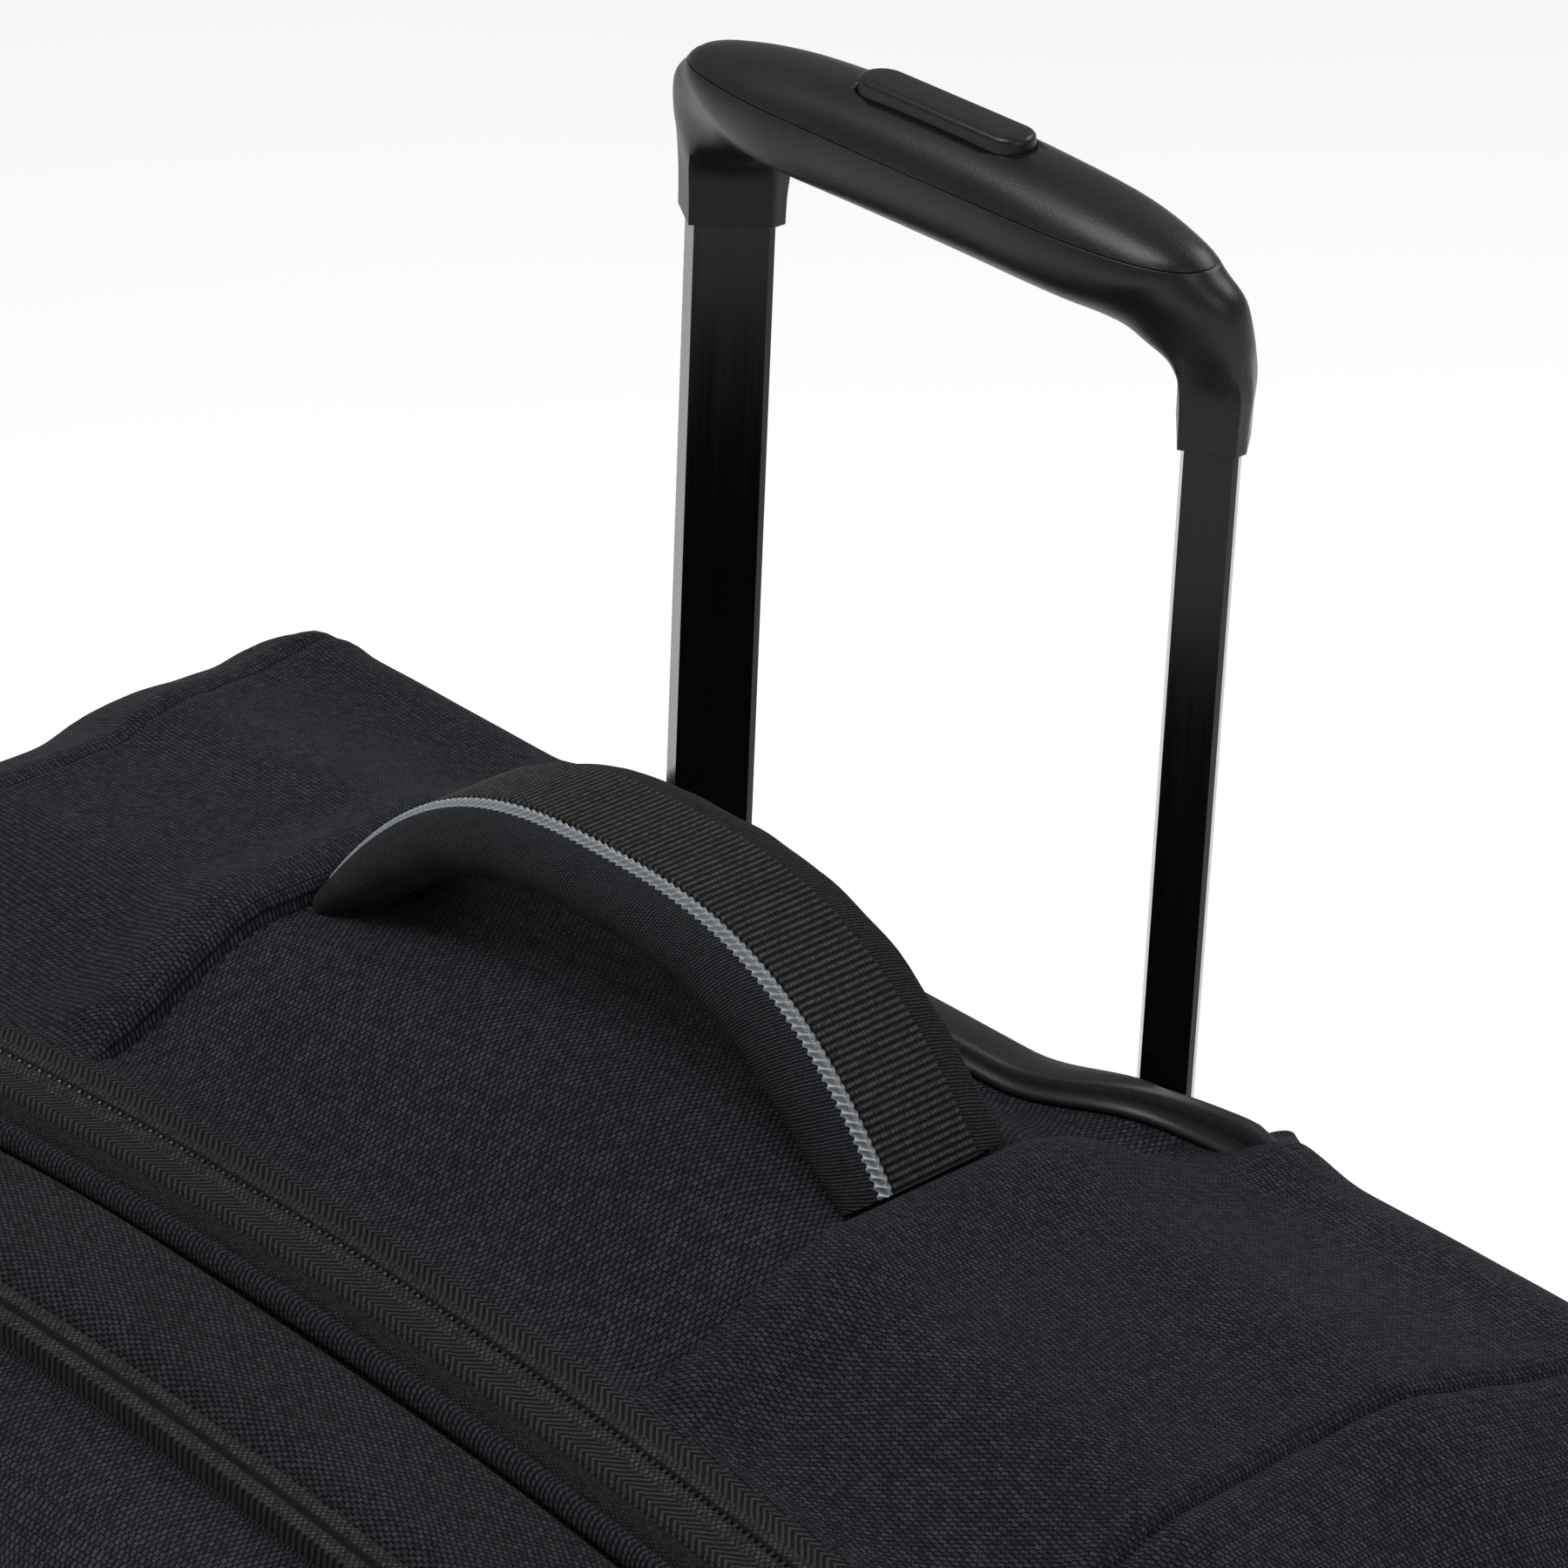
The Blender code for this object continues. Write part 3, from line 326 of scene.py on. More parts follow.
def moulded(name, colour, roughness, grain=0.00045, depth=0.00004, specular=0.5, painted_edge_highlight=0.0):
    """Grained plastic, with faint marks and, if asked, a painted highlight that lightens its sharp edges."""
    look = Look(name, roughness, specular=specular)
    speckle = look.noise(grain, 2.0)
    smudge = look.noise(0.035, 3.0)
    lighter = tuple(min(c * 1.6 + 0.004, 1.0) for c in colour)
    tone = look.mix(look.ramp(speckle, 0.45, 0.75), colour, lighter)
    # Painted highlight: sharp convex edges, found by their pointiness, are lightened as if light caught
    # them.
    if painted_edge_highlight:
        edge = look.add("NewGeometry").outputs["Pointiness"]
        tone = look.mix(look.ramp(edge, 0.52, 0.62, 0.0, painted_edge_highlight), tone, tuple(c * 2.5 + 0.02 for c in colour))
    look.set("Base Color", tone)
    look.set("Roughness", look.ramp(smudge, 0.3, 0.7, roughness - 0.05, roughness + 0.06))
    look.bump(speckle, depth)
    return look.material


def glossy_tube(name):
    """Anodised tube: black, smooth, drawn lengthwise."""
    look = Look(name, 0.16, specular=0.30)
    where = look.add("Mapping", {"Vector": look.place(), "Scale": (1.0, 1.0, 0.02)}).outputs[0]
    lines = look.noise(0.0012, 2.0, where)
    dark, light = (0.0022, 0.0022, 0.0024), (0.0040, 0.0040, 0.0043)
    look.set("Base Color", look.mix(look.ramp(lines, 0.3, 0.7), dark, light))
    look.set("Roughness", look.ramp(lines, 0.3, 0.7, 0.13, 0.20))
    return look.material


def metal(name, colour, roughness):
    """Bare metal with faint marks."""
    look = Look(name, roughness, metallic=1.0)
    marks = look.noise(0.002, 3.0)
    look.set("Base Color", look.mix(look.ramp(marks, 0.3, 0.7), colour, tuple(c * 0.75 for c in colour)))
    look.set("Roughness", look.ramp(marks, 0.3, 0.7, roughness, roughness + 0.12))
    look.bump(marks, 0.00003)
    return look.material


INK = (0.0030, 0.0034, 0.0048)
LOOKS = {
    "dobby": woven("dobby_weave", INK, (0.060, 0.064, 0.076), 0.00140, 0.00130, 0.00060, slant=0.15),
    "gusset": woven("gusset_weave", INK, (0.056, 0.060, 0.072), 0.00110, 0.00130, 0.00060,
                    turn=math.pi / 2, slant=0.3),
    "rib": woven("rib_weave", INK, (0.056, 0.058, 0.066), 0.00125, 0.00110, 0.00055, depth=0.00035),
    "plain": woven("plain_weave", INK, (0.036, 0.038, 0.042), 0.00060, 0.00075, 0.00060, depth=0.00012),
    "cord": knitted("piping_cord", (0.0030, 0.0034, 0.0046), (0.040, 0.043, 0.050), 0.00130, depth=0.00030),
    "bottom": woven("bottom_weave", (0.004, 0.004, 0.005), (0.022, 0.023, 0.026), 0.0009, 0.0009, 0.0009),
    "lining": woven("lining_weave", (0.050, 0.053, 0.060), (0.130, 0.137, 0.150), 0.0007, 0.0007, 0.0007,
                    sheen=0.3),
    "knit": knitted("handle_knit", (0.0055, 0.0058, 0.0070), (0.050, 0.052, 0.060)),
    "binding": knitted("binding_tape", (0.004, 0.004, 0.005), (0.030, 0.031, 0.035), 0.0010),
    "webbing": ribbed_webbing("ribbed_webbing", (0.0035, 0.0035, 0.0035), (0.075, 0.074, 0.070)),
    "stripe": braided("pale_braid"),
    "tape": herringbone("zip_tape"),
    "mesh": space_mesh("space_mesh"),
    "thread": knitted("sewing_thread", (0.010, 0.010, 0.012), (0.060, 0.062, 0.070), 0.0005),
    "grip": moulded("grip_plastic", (0.0042, 0.0050, 0.0064), 0.38, specular=0.40),
    # The housing gets a painted highlight on its sharp edges, such as the lip's bead.
    "housing": moulded("housing_plastic", (0.0085, 0.0100, 0.0125), 0.42, specular=0.40, painted_edge_highlight=0.5),
    "plastic": moulded("moulded_plastic", (0.0100, 0.0105, 0.0120), 0.48),
    "board": moulded("moulded_board", (0.030, 0.031, 0.034), 0.62, grain=0.0020, depth=0.00010),
    "coil": moulded("zip_coil", (0.012, 0.012, 0.013), 0.25, grain=0.0010, depth=0.00001, specular=0.7),
    "tyre": moulded("tyre_rubber", (0.012, 0.012, 0.0125), 0.75, grain=0.0008, depth=0.00008, specular=0.25),
    "hub": moulded("hub_plastic", (0.035, 0.036, 0.040), 0.35),
    "tube": glossy_tube("black_tube"),
    "steel": metal("bright_steel", (0.42, 0.42, 0.43), 0.30),
    "gunmetal": metal("dark_metal", (0.09, 0.09, 0.095), 0.28),
}


# Mesh helpers.


def eased(share):
    """A share held between 0 and 1 that starts and ends level."""
    share = min(max(share, 0.0), 1.0)
    return share * share * (3 - 2 * share)


def between(first, last, share):
    return first + (last - first) * share


def steps(first, last, spacing):
    """Evenly spaced values from first to last, no further apart than spacing."""
    count = max(1, math.ceil(abs(last - first) / spacing))
    return [between(first, last, k / count) for k in range(count + 1)]


def bracket(values, wanted):
    """The numbers of the two neighbouring values, in rising order, that a wanted one lies between."""
    high = min(max(bisect.bisect_right(values, wanted), 1), len(values) - 1)
    return high - 1, high


def edged(first, last, spacing, fine=0.0007, reach=0.006):
    """Values from first to last that crowd together towards both ends."""
    near = steps(0.0, reach, fine)
    middle = steps(first + reach, last - reach, spacing)
    return [first + d for d in near[:-1]] + middle + [last - d for d in reversed(near[:-1])]


def make(name, points, faces, looks, uvs=None, which=None, angle=60):
    """A mesh object. faces hold point numbers, uvs a (u, v) for each face corner, which a look per face."""
    mesh = bpy.data.meshes.new(name)
    mesh.from_pydata([Vector(p) + MIDDLE for p in points], [], faces)
    for look in looks:
        mesh.materials.append(LOOKS[look])
    if uvs:
        layer = mesh.uv_layers.new(name="weave")
        layer.data.foreach_set("uv", [value for face in uvs for corner in face for value in corner])
    if which:
        mesh.polygons.foreach_set("material_index", which)
    mesh.validate()
    mesh.shade_smooth()
    mesh.set_sharp_from_angle(angle=math.radians(angle))
    obj = bpy.data.objects.new(name, mesh)
    bpy.context.scene.collection.objects.link(obj)
    return obj


def distances(points):
    """The distance run at each point of a line."""
    total = [0.0]
    for a, b in zip(points, points[1:]):
        total.append(total[-1] + (Vector(b) - Vector(a)).length)
    return total


def loft(name, rows, looks, ring=False, loop=False, caps=False, us=None, vs=None, look_of=None,
         skip=None, angle=60):
    """A surface over rows of points. ring joins each row's ends, loop joins the last row to the first.

    caps closes the first and last rows, each by one face or, for "strip", by faces across a folded row.
    us and vs are the weave's distances, down the rows and along each row. look_of gives a face's look.
    skip says which points lie in a hole.
    """
    count, size = len(rows), len(rows[0])
    points = [tuple(p) for row in rows for p in row]
    middle_row = rows[count // 2]
    vs = vs or distances(list(middle_row) + [middle_row[0]])
    us = us or distances([row[0] for row in rows] + [rows[0][0]])
    faces, uvs, which = [], [], []
    for i in range(count if loop else count - 1):
        below = (i + 1) % count
        for j in range(size if ring else size - 1):
            right = (j + 1) % size
            face = (i * size + j, i * size + right, below * size + right, below * size + j)
            if skip and all(skip(*points[p]) for p in face):
                continue
            faces.append(face)
            uvs.append(((us[i], vs[j]), (us[i], vs[j + 1]), (us[i + 1], vs[j + 1]), (us[i + 1], vs[j])))
            which.append(look_of(i, j) if look_of else 0)
    if caps:
        for i in (0, count - 1):
            if caps == "strip":
                ends = [(j, j + 1, size - 2 - j, size - 1 - j) for j in range(size // 2 - 1)]
            else:
                ends = [tuple(range(size))]
            for end in ends:
                if skip and all(skip(*rows[i][j]) for j in end):
                    continue
                faces.append([i * size + j for j in end])
                uvs.append([(rows[i][j][0], rows[i][j][2]) for j in end])
                which.append(0)
    obj = make(name, points, faces, looks, uvs, which, angle)
    shape = bmesh.new()
    shape.from_mesh(obj.data)
    bmesh.ops.recalc_face_normals(shape, faces=shape.faces)
    shape.to_mesh(obj.data)
    shape.free()
    return obj


def wear_body(obj, body, slot, *nodes):
    """Joins a piece to its body and hides the CAD nodes that it stands for. slot is not used."""
    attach(obj, body)
    if nodes:
        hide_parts(*nodes)
    return obj


def joined(name, parts):
    """One object from several."""
    for part in parts:
        part.select_set(True)
    with bpy.context.temp_override(active_object=parts[0], selected_editable_objects=parts):
        bpy.ops.object.join()
    parts[0].name = name
    parts[0].data.name = name
    return parts[0]


def cut(obj, tool, operation="DIFFERENCE"):
    """Cuts with a hidden tool, and leaves no modifier behind."""
    modifier = obj.modifiers.new("cut", "BOOLEAN")
    modifier.operation = operation
    modifier.solver = "EXACT"
    modifier.object = tool
    bpy.context.view_layer.update()
    graph = bpy.context.evaluated_depsgraph_get()
    mesh = bpy.data.meshes.new_from_object(obj.evaluated_get(graph))
    obj.modifiers.clear()
    obj.data = mesh


def discard(obj):
    bpy.data.objects.remove(obj)


def prism(name, outline, low, high, look="plastic"):
    """An XY outline extruded in Z."""
    rows = [[(x, y, z) for x, y in outline] for z in (low, high)]
    return loft(name, rows, [look], ring=True, caps=True, angle=30)


def tube_along(name, centres, radius, look, sides=10, loop=False):
    """A round cord along a line of points."""
    count = len(centres)
    rows = []
    for i, centre in enumerate(centres):
        after = centres[(i + 1) % count] if loop else centres[min(i + 1, count - 1)]
        before = centres[i - 1] if loop else centres[max(i - 1, 0)]
        along = (Vector(after) - Vector(before)).normalized()
        side = along.cross(Vector((0.0, 1.0, 0.0)))
        if side.length < 0.1:
            side = along.cross(Vector((0.0, 0.0, 1.0)))
        side.normalize()
        other = side.cross(along)
        row = []
        for k in range(sides):
            a = 2 * math.pi * k / sides
            row.append(Vector(centre) + side * (radius * math.cos(a)) + other * (radius * math.sin(a)))
        rows.append(row)
    return loft(name, rows, [look], ring=True, loop=loop, caps=not loop)


def stitches(name, line, normals, body, pitch=0.0036, length=0.0025, radius=0.00032, look="thread"):
    """A row of stitches along a line, each a short thread pressed into the cloth."""
    total = distances(line)
    points, faces = [], []
    at, index = pitch / 2, 0
    while at + length < total[-1]:
        ends = []
        for d in (at, at + length / 2, at + length):
            while total[index + 1] < d:
                index += 1
            share = (d - total[index]) / max(total[index + 1] - total[index], 1e-9)
            ends.append(Vector(line[index]).lerp(Vector(line[index + 1]), share))
        index = max(index - 3, 0)
        normal = Vector(normals[min(index, len(normals) - 1)])
        along = (ends[2] - ends[0]).normalized()
        side = along.cross(normal).normalized() * radius
        start = len(points)
        lift = normal * radius
        for p, r in zip(ends, (0.25, 1.0, 0.25)):
            sunk = p - lift * 0.5
            points += [tuple(sunk + side * r), tuple(p + lift * r * 1.2), tuple(sunk - side * r)]
        for k in (0, 3):
            for m in (0, 1):
                a = start + k + m
                faces.append((a, a + 1, a + 4, a + 3))
        at += pitch
    obj = make(name, points, faces, [look])
    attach(obj, body)
    return obj


# The case's outline: s runs from the middle of the top, over the right corner, down to the bottom's middle.


def top_z(x):
    return TOP_Z - TOP_ARCH * x * x


def outline_table():
    """Closely spaced (s, x, z, normal x, normal z) of the right half of the outline."""
    end = math.pi / 2 - math.atan(2 * TOP_ARCH * OUTER_SEAM_X)
    radius = (HALF_WIDTH - OUTER_SEAM_X) / (1 - math.cos(end))
    centre = (HALF_WIDTH - radius, top_z(OUTER_SEAM_X) - radius * math.sin(end))
    path = [(x, top_z(x)) for x in steps(0.0, OUTER_SEAM_X, 0.001)]
    for a in steps(end, 0.0, 0.02)[1:]:
        path.append((centre[0] + radius * math.cos(a), centre[1] + radius * math.sin(a)))
    low = BOTTOM_Z + BOTTOM_CORNER_RADIUS
    path += [(HALF_WIDTH, z) for z in steps(centre[1], low, 0.002)[1:]]
    inner = HALF_WIDTH - BOTTOM_CORNER_RADIUS
    path += [
        (inner + BOTTOM_CORNER_RADIUS * math.cos(a), low + BOTTOM_CORNER_RADIUS * math.sin(a))
        for a in steps(0.0, -math.pi / 2, 0.02)[1:]
    ]
    path += [(x, BOTTOM_Z) for x in steps(inner, 0.0, 0.002)[1:]]
    table, s = [], 0.0
    for i, (x, z) in enumerate(path):
        if i:
            s += math.hypot(x - path[i - 1][0], z - path[i - 1][1])
        ax, az = path[max(i - 1, 0)]
        bx, bz = path[min(i + 1, len(path) - 1)]
        length = math.hypot(bx - ax, bz - az)
        table.append((s, x, z, -(bz - az) / length, (bx - ax) / length))
    table[0] = (0.0, 0.0, TOP_Z, 0.0, 1.0)
    return table


TABLE = outline_table()
TABLE_S = [row[0] for row in TABLE]
S_END = TABLE_S[-1]


def first_where(test):
    """(s, z) of the first place on the outline whose x and z pass a test."""
    return next((row[0], row[2]) for row in TABLE if test(row[1], row[2]))


S_CENTRE = first_where(lambda x, z: x >= CENTRE_SEAM_X - TINY)[0]
S_OUTER = first_where(lambda x, z: x >= OUTER_SEAM_X - TINY)[0]
S_SIDE, SIDE_Z = first_where(lambda x, z: x > HALF_WIDTH - TINY)
S_LOW = first_where(lambda x, z: z <= BOTTOM_Z + TINY)[0]


def at(s):
    """The outline's point and normal at s, which is below zero on the left."""
    size = abs(s)
    a, b = (TABLE[k] for k in bracket(TABLE_S, size))
    share = min(max((size - a[0]) / (b[0] - a[0]), 0.0), 1.0)
    x, z, nx, nz = (between(a[k], b[k], share) for k in (1, 2, 3, 4))
    side = math.copysign(1.0, s)
    return x * side, z, nx * side, nz


def back_outline(s):
    """The back's outline: a straight top, tighter corners, and down to the side's straight part."""
    flat = HALF_WIDTH - BACK_CORNER_RADIUS
    quarter = BACK_CORNER_RADIUS * math.pi / 2
    drop = TOP_Z - BACK_CORNER_RADIUS - SIDE_Z
    along = abs(s) / S_SIDE * (flat + quarter + drop)
    if along < flat:
        x, z, a = along, TOP_Z, math.pi / 2
    elif along < flat + quarter:
        a = math.pi / 2 - (along - flat) / BACK_CORNER_RADIUS
        x, z = flat + BACK_CORNER_RADIUS * math.cos(a), TOP_Z - BACK_CORNER_RADIUS * (1 - math.sin(a))
    else:
        x, z, a = HALF_WIDTH, SIDE_Z + flat + quarter + drop - along, 0.0
    side = math.copysign(1.0, s)
    return x * side, z, math.cos(a) * side, math.sin(a)


def place(s, y, out=0.0):
    """The point at s and depth y, pushed outwards. The outline changes from the front's to the back's."""
    x, z, nx, nz = at(s)
    share = eased((y - LIFT_FRONT_Y) / (LIFT_BACK_Y - LIFT_FRONT_Y))
    if share and abs(s) < S_SIDE:
        x, z, nx, nz = (between(a, b, share) for a, b in zip((x, z, nx, nz), back_outline(s)))
        size = math.hypot(nx, nz)
        nx, nz = nx / size, nz / size
    return (x + nx * out, y, z + nz * out)


def whole_outline(spacing):
    """s values once round the outline, from the bottom's middle up the left side and back."""
    return steps(-S_END, S_END, spacing)[:-1]


# The housing's edges, which the top fabric meets.

HOUSING_HALF = HOUSING_HIGH.x + 0.0020
RIDGE_Z = COLLAR_Z - 0.1420
RIDGE_Y = TUBE_Y - 0.0048
LIP_FADES_X = 0.0880
LIP_DROP_RUN = 0.0320  # how far in front of the lip the fabric starts to drop


def lip_y(x):
    """The housing's front edge, which curves back round the tubes."""
    return TUBE_Y - 0.0148 + 0.0205 * min(abs(x) / HOUSING_HALF, 1.0) ** 4.2


def ridge_y(x):
    return max(RIDGE_Y, lip_y(x) + 0.0036)


def ridge_z(x):
    """The top of the housing's front ridge, low in the middle and falling at its ends."""
    rise = 0.0076 * eased((abs(x) - 0.042) / 0.038)
    fall = 0.0070 * (max(abs(x) - 0.080, 0.0) / 0.026) ** 2
    return RIDGE_Z + rise - fall


def lip_z(x):
    return ridge_z(x) - 0.0038 - 0.0045 * (abs(x) / HOUSING_HALF) ** 3


# Fabric of the body.


def swell(s, y):
    """How far the padded panels stand out between the zip and the back."""
    nz = at(s)[3]
    if nz < -0.5:
        return 0.0
    rise = between(SIDE_SWELL, TOP_SWELL, max(nz, 0.0))
    front = ZIP_Y + 0.0110
    back = TUBE_Y - 0.0040
    return rise * eased(min(y - front, back - y) / SWELL_RUN)


def seam_relief(s):
    """Folded, raised edges beside the seams, and the sunken centre panel."""
    size = abs(s)
    out = 0.0
    d = size - S_CENTRE
    if d >= 0:
        fold = math.sqrt(max(1 - (1 - min(d / 0.0040, 1.0)) ** 2, 0.0))
        out += -0.0024 + 0.0058 * fold * (1 - eased((d - 0.0040) / 0.026)) + 0.0024 * eased(d / 0.012)
    else:
        out += -0.0024 * (1 - eased(-d / 0.034)) - 0.0010 * max(1 + d / 0.0014, 0.0)
    for seam, width in ((S_OUTER, 0.0030), (S_LOW, 0.0030)):
        d = abs(size - seam)
        out -= 0.0015 * max(1 - d / width, 0.0) ** 2
        out += 0.0007 * math.exp(-((d - width * 1.4) / width) ** 2)
    return out


def pucker(s, y):
    """Slight waves where the cloth is gathered by its seams."""
    near = math.exp(-abs(abs(s) - S_OUTER) / 0.012) + 0.6 * math.exp(-abs(y - BACK_Y + 0.02) / 0.012)
    wave = math.sin(y * 410 + 3 * math.sin(s * 31)) + 0.6 * math.sin(y * 230 + s * 55 + 1.7)
    side = math.sin(s * 270 + 2 * math.sin(y * 37)) * 0.5
    return 0.00022 * near * (wave + side)


def soft_wave(s, y):
    """The slow unevenness of cloth over foam."""
    return 0.0005 * math.sin(s * 17 + 1.3) * math.sin(y * 33 + s * 9) + 0.0004 * math.sin(s * 43 + y * 21)


def body_point(s, y, inset, lift):
    """A point of the body's fabric, which drops to the housing's lip. lift is false on the lining."""
    out = swell(s, y) - inset
    if lift:
        ends = eased((y - ZIP_Y - 0.010) / 0.010)
        out += (seam_relief(s) + pucker(s, y) + soft_wave(s, y)) * ends
    x, yy, z = place(s, y, out if lift else out - WALL)
    if z > TOP_Z - 0.05 and abs(x) < HOUSING_HALF:
        fade = 1 - eased((abs(x) - LIP_FADES_X) / (HOUSING_HALF - LIP_FADES_X))
        near = eased(1 - (lip_y(x) - yy) / LIP_DROP_RUN) * fade
        meets = lip_z(x) - 0.0016 - (0.0 if lift else WALL)
        z = between(z, meets, near)
    return (x, yy, z)


def in_wheel_well(x, y, z):
    """Whether fabric would pass through a wheel's housing."""
    inside = WELL_LOW.x + 0.001 < abs(x) < WELL_HIGH.x - 0.001
    return inside and y > WELL_LOW.y + 0.001 and z < WELL_HIGH.z - 0.001


def in_housing(x, y, z):
    """Whether fabric would pass through the trolley's housing, behind its lip."""
    return abs(x) < HOUSING_HALF - 0.009 and y > lip_y(x) + 0.0040 and z > HOUSING_LOW.z + 0.004


def body_profile():
    """(y, inset) from the zip's tape to the back, round the back edge."""
    front = ZIP_Y + TAPE_WIDTH
    flat = BACK_Y - BACK_ROUNDING
    hem = front - 0.0006
    profile = [(hem, 0.0030), (hem, 0.0006), (front, -0.0004), (front + 0.0010, -0.0010)]
    for y in steps(front + 0.0022, flat, 0.0026):
        profile.append((y, -0.0002 - 0.0006 * math.exp(-(y - front) / 0.003)))
    for a in steps(0.0, math.pi / 2, 0.16)[1:]:
        profile.append((flat + BACK_ROUNDING * math.sin(a), BACK_ROUNDING * (1 - math.cos(a)) * 1.1))
    return profile


def body_panel(name, first, last, look):
    """One panel between two seams, outside fabric and inside lining."""
    profile = body_profile()
    size = len(profile)
    rows = []
    ss = edged(first, last, 0.0028)
    for s in ss:
        outer = [body_point(s, y, inset, True) for y, inset in profile]
        inner = [body_point(s, min(y, BACK_Y - WALL), inset, False) for y, inset in profile]
        rows.append(outer + inner[::-1])

    def skip(x, y, z):
        return in_wheel_well(x, y, z) or in_housing(x, y, z)

    vs = [y for y, _ in profile] + [y for y, _ in reversed(profile)] + [profile[0][0]]
    obj = loft(name, rows, [look, "lining"], ring=True, caps="strip", us=ss, vs=vs, skip=skip,
               look_of=lambda i, j: 1 if size - 1 < j < 2 * size - 1 else 0, angle=80)
    return obj


def body_fabric():
    """The padded panels of the top and sides, and the plain bottom."""
    panels = (
        ("top_fabric_centre", -S_CENTRE, S_CENTRE, "dobby", "top_panel_centre"),
        ("top_fabric_right", S_CENTRE, S_OUTER, "gusset", "top_panel_right"),
        ("top_fabric_left", -S_OUTER, -S_CENTRE, "gusset", "top_panel_left"),
        ("side_fabric_right", S_OUTER, S_LOW, "gusset", "side_panel_right"),
        ("side_fabric_left", -S_LOW, -S_OUTER, "gusset", "side_panel_left"),
    )
    for name, first, last, look, node in panels:
        obj = wear_body(body_panel(name, first, last, look), "case", "fabric", node)
    # The bottom's s runs through the end of the outline, so it is made in two halves.
    halves = [body_panel("bottom_half_right", S_LOW, S_END, "bottom"),
              body_panel("bottom_half_left", -S_END, -S_LOW, "bottom")]
    wear_body(joined("bottom_fabric", halves), "case", "trim_fabric", "bottom_panel")


def back_fabric():
    """The woven back with its bound edge, on upright columns between the ends of the outline."""
    inset = BACK_ROUNDING * 1.1 + 0.0020
    outline = [place(s, BACK_Y, -inset) for s in whole_outline(0.004)]
    outline = [(x, z) for x, _, z in outline]
    wide = max(x for x, _ in outline)

    def ends(x):
        heights = []
        for (x1, z1), (x2, z2) in zip(outline, outline[1:] + outline[:1]):
            if min(x1, x2) <= x <= max(x1, x2) and x1 != x2:
                heights.append(between(z1, z2, (x - x1) / (x2 - x1)))
        low, high = min(heights), max(heights)
        if abs(x) < HOUSING_HIGH.x + 0.002:
            high = min(high, HOUSING_LOW.z + 0.001)
        if WELL_LOW.x - 0.001 < abs(x) < WELL_HIGH.x + 0.001:
            low = max(low, WELL_HIGH.z - 0.001)
        return low, high

    columns = steps(-wide + 0.0001, wide - 0.0001, 0.006)
    for edge in (HOUSING_HIGH.x + 0.002, WELL_LOW.x - 0.001, WELL_HIGH.x + 0.001):
        for side in (-1, 1):
            columns += [side * edge - 0.0001, side * edge + 0.0001]
    columns = sorted(x for x in columns if abs(x) < wide)
    rows = []
    for x in columns:
        low, high = ends(x)
        row = []
        for k in range(61):
            z = between(low, high, k / 60)
            edge = min(wide - abs(x), z - low, high - z)
            wave = 0.0005 * math.sin(9 * x + 7 * z) * eased(edge / 0.03)
            y = BACK_Y - 0.0030 * math.exp(-edge / 0.0012) + wave
            row.append((x, min(y, BACK_Y), z))
        rows.append(row)
    obj = loft("back_fabric", rows, ["gusset"], angle=80)
    layer = obj.data.uv_layers["weave"]
    for corner in obj.data.loops:
        p = obj.data.vertices[corner.vertex_index].co
        layer.data[corner.index].uv = (p.x, p.z)
    wear_body(obj, "case", "board", "back_panel")
    line = [place(s, BACK_Y - 0.0008, -inset + 0.0010) for s in whole_outline(0.006)]
    line = [p for p in line if not in_wheel_well(*p) and not (abs(p[0]) < HOUSING_HIGH.x and p[2] > 0.5)]
    start = next(k for k, p in enumerate(line) if p[2] > 0.5 and p[0] > 0)
    ordered = line[start:] + line[:start]
    runs, run = [], [ordered[0]]
    for a, b in zip(ordered, ordered[1:]):
        if (Vector(a) - Vector(b)).length > 0.02:
            runs.append(run)
            run = []
        run.append(b)
    runs.append(run)
    cords = [tube_along(f"back_piping_{k}", r, 0.0019, "binding") for k, r in enumerate(runs) if len(r) > 3]
    wear_body(joined("back_piping", cords), "case", "trim_fabric")


# Zips.


def tape_rows(away, spacing=0.0030):
    """The section of one half of the zip: (y, out) from the coil's line outwards."""
    section = [
        (0.0003, -0.0010), (0.0003, 0.0001), (0.0006, 0.0006), (0.0014, 0.0009), (0.0026, 0.0008),
        (0.0036, 0.0003), (0.0060, 0.0001), (0.0085, 0.0001), (0.0096, 0.0001),
        (TAPE_WIDTH + 0.0004, -0.0006),
        (TAPE_WIDTH + 0.0004, -0.0022), (0.0060, -0.0016), (0.0020, -0.0014),
    ]
    ss = whole_outline(spacing)
    rows = [[place(s, ZIP_Y + away * y, out + 0.0012) for y, out in section] for s in ss]
    vs = [max(y, 0.0) for y, _ in section] + [0.0003]
    return rows, ss + [S_END], vs


def coil(name, away, body):
    """The coil's teeth, seen as a row of small beads along the zip's line."""
    points, faces = [], []
    count = round(2 * S_END / COIL_PITCH)
    offset = 0.0 if away > 0 else COIL_PITCH / 2
    for k in range(count):
        s = -S_END + k * COIL_PITCH + offset
        if abs(s) > S_END - 0.001:
            continue
        start = len(points)
        for y, half, out in ((0.0012, 0.0004, 0.0010), (0.0002, 0.0005, 0.0011), (-0.0006, 0.0003, 0.0009)):
            for ds, dz in ((-half, 0.0), (0.0, 0.0004), (half, 0.0), (0.0, -0.0004)):
                points.append(place(s + ds, ZIP_Y + away * y, out + 0.0004 + dz))
        for ring in (0, 4):
            for m in range(4):
                a, b = start + ring + m, start + ring + (m + 1) % 4
                faces.append((a, b, b + 4, a + 4))
        faces.append((start + 8, start + 9, start + 10, start + 11))
    obj = make(name, points, faces, ["coil"])
    return wear_body(obj, body, "zip")


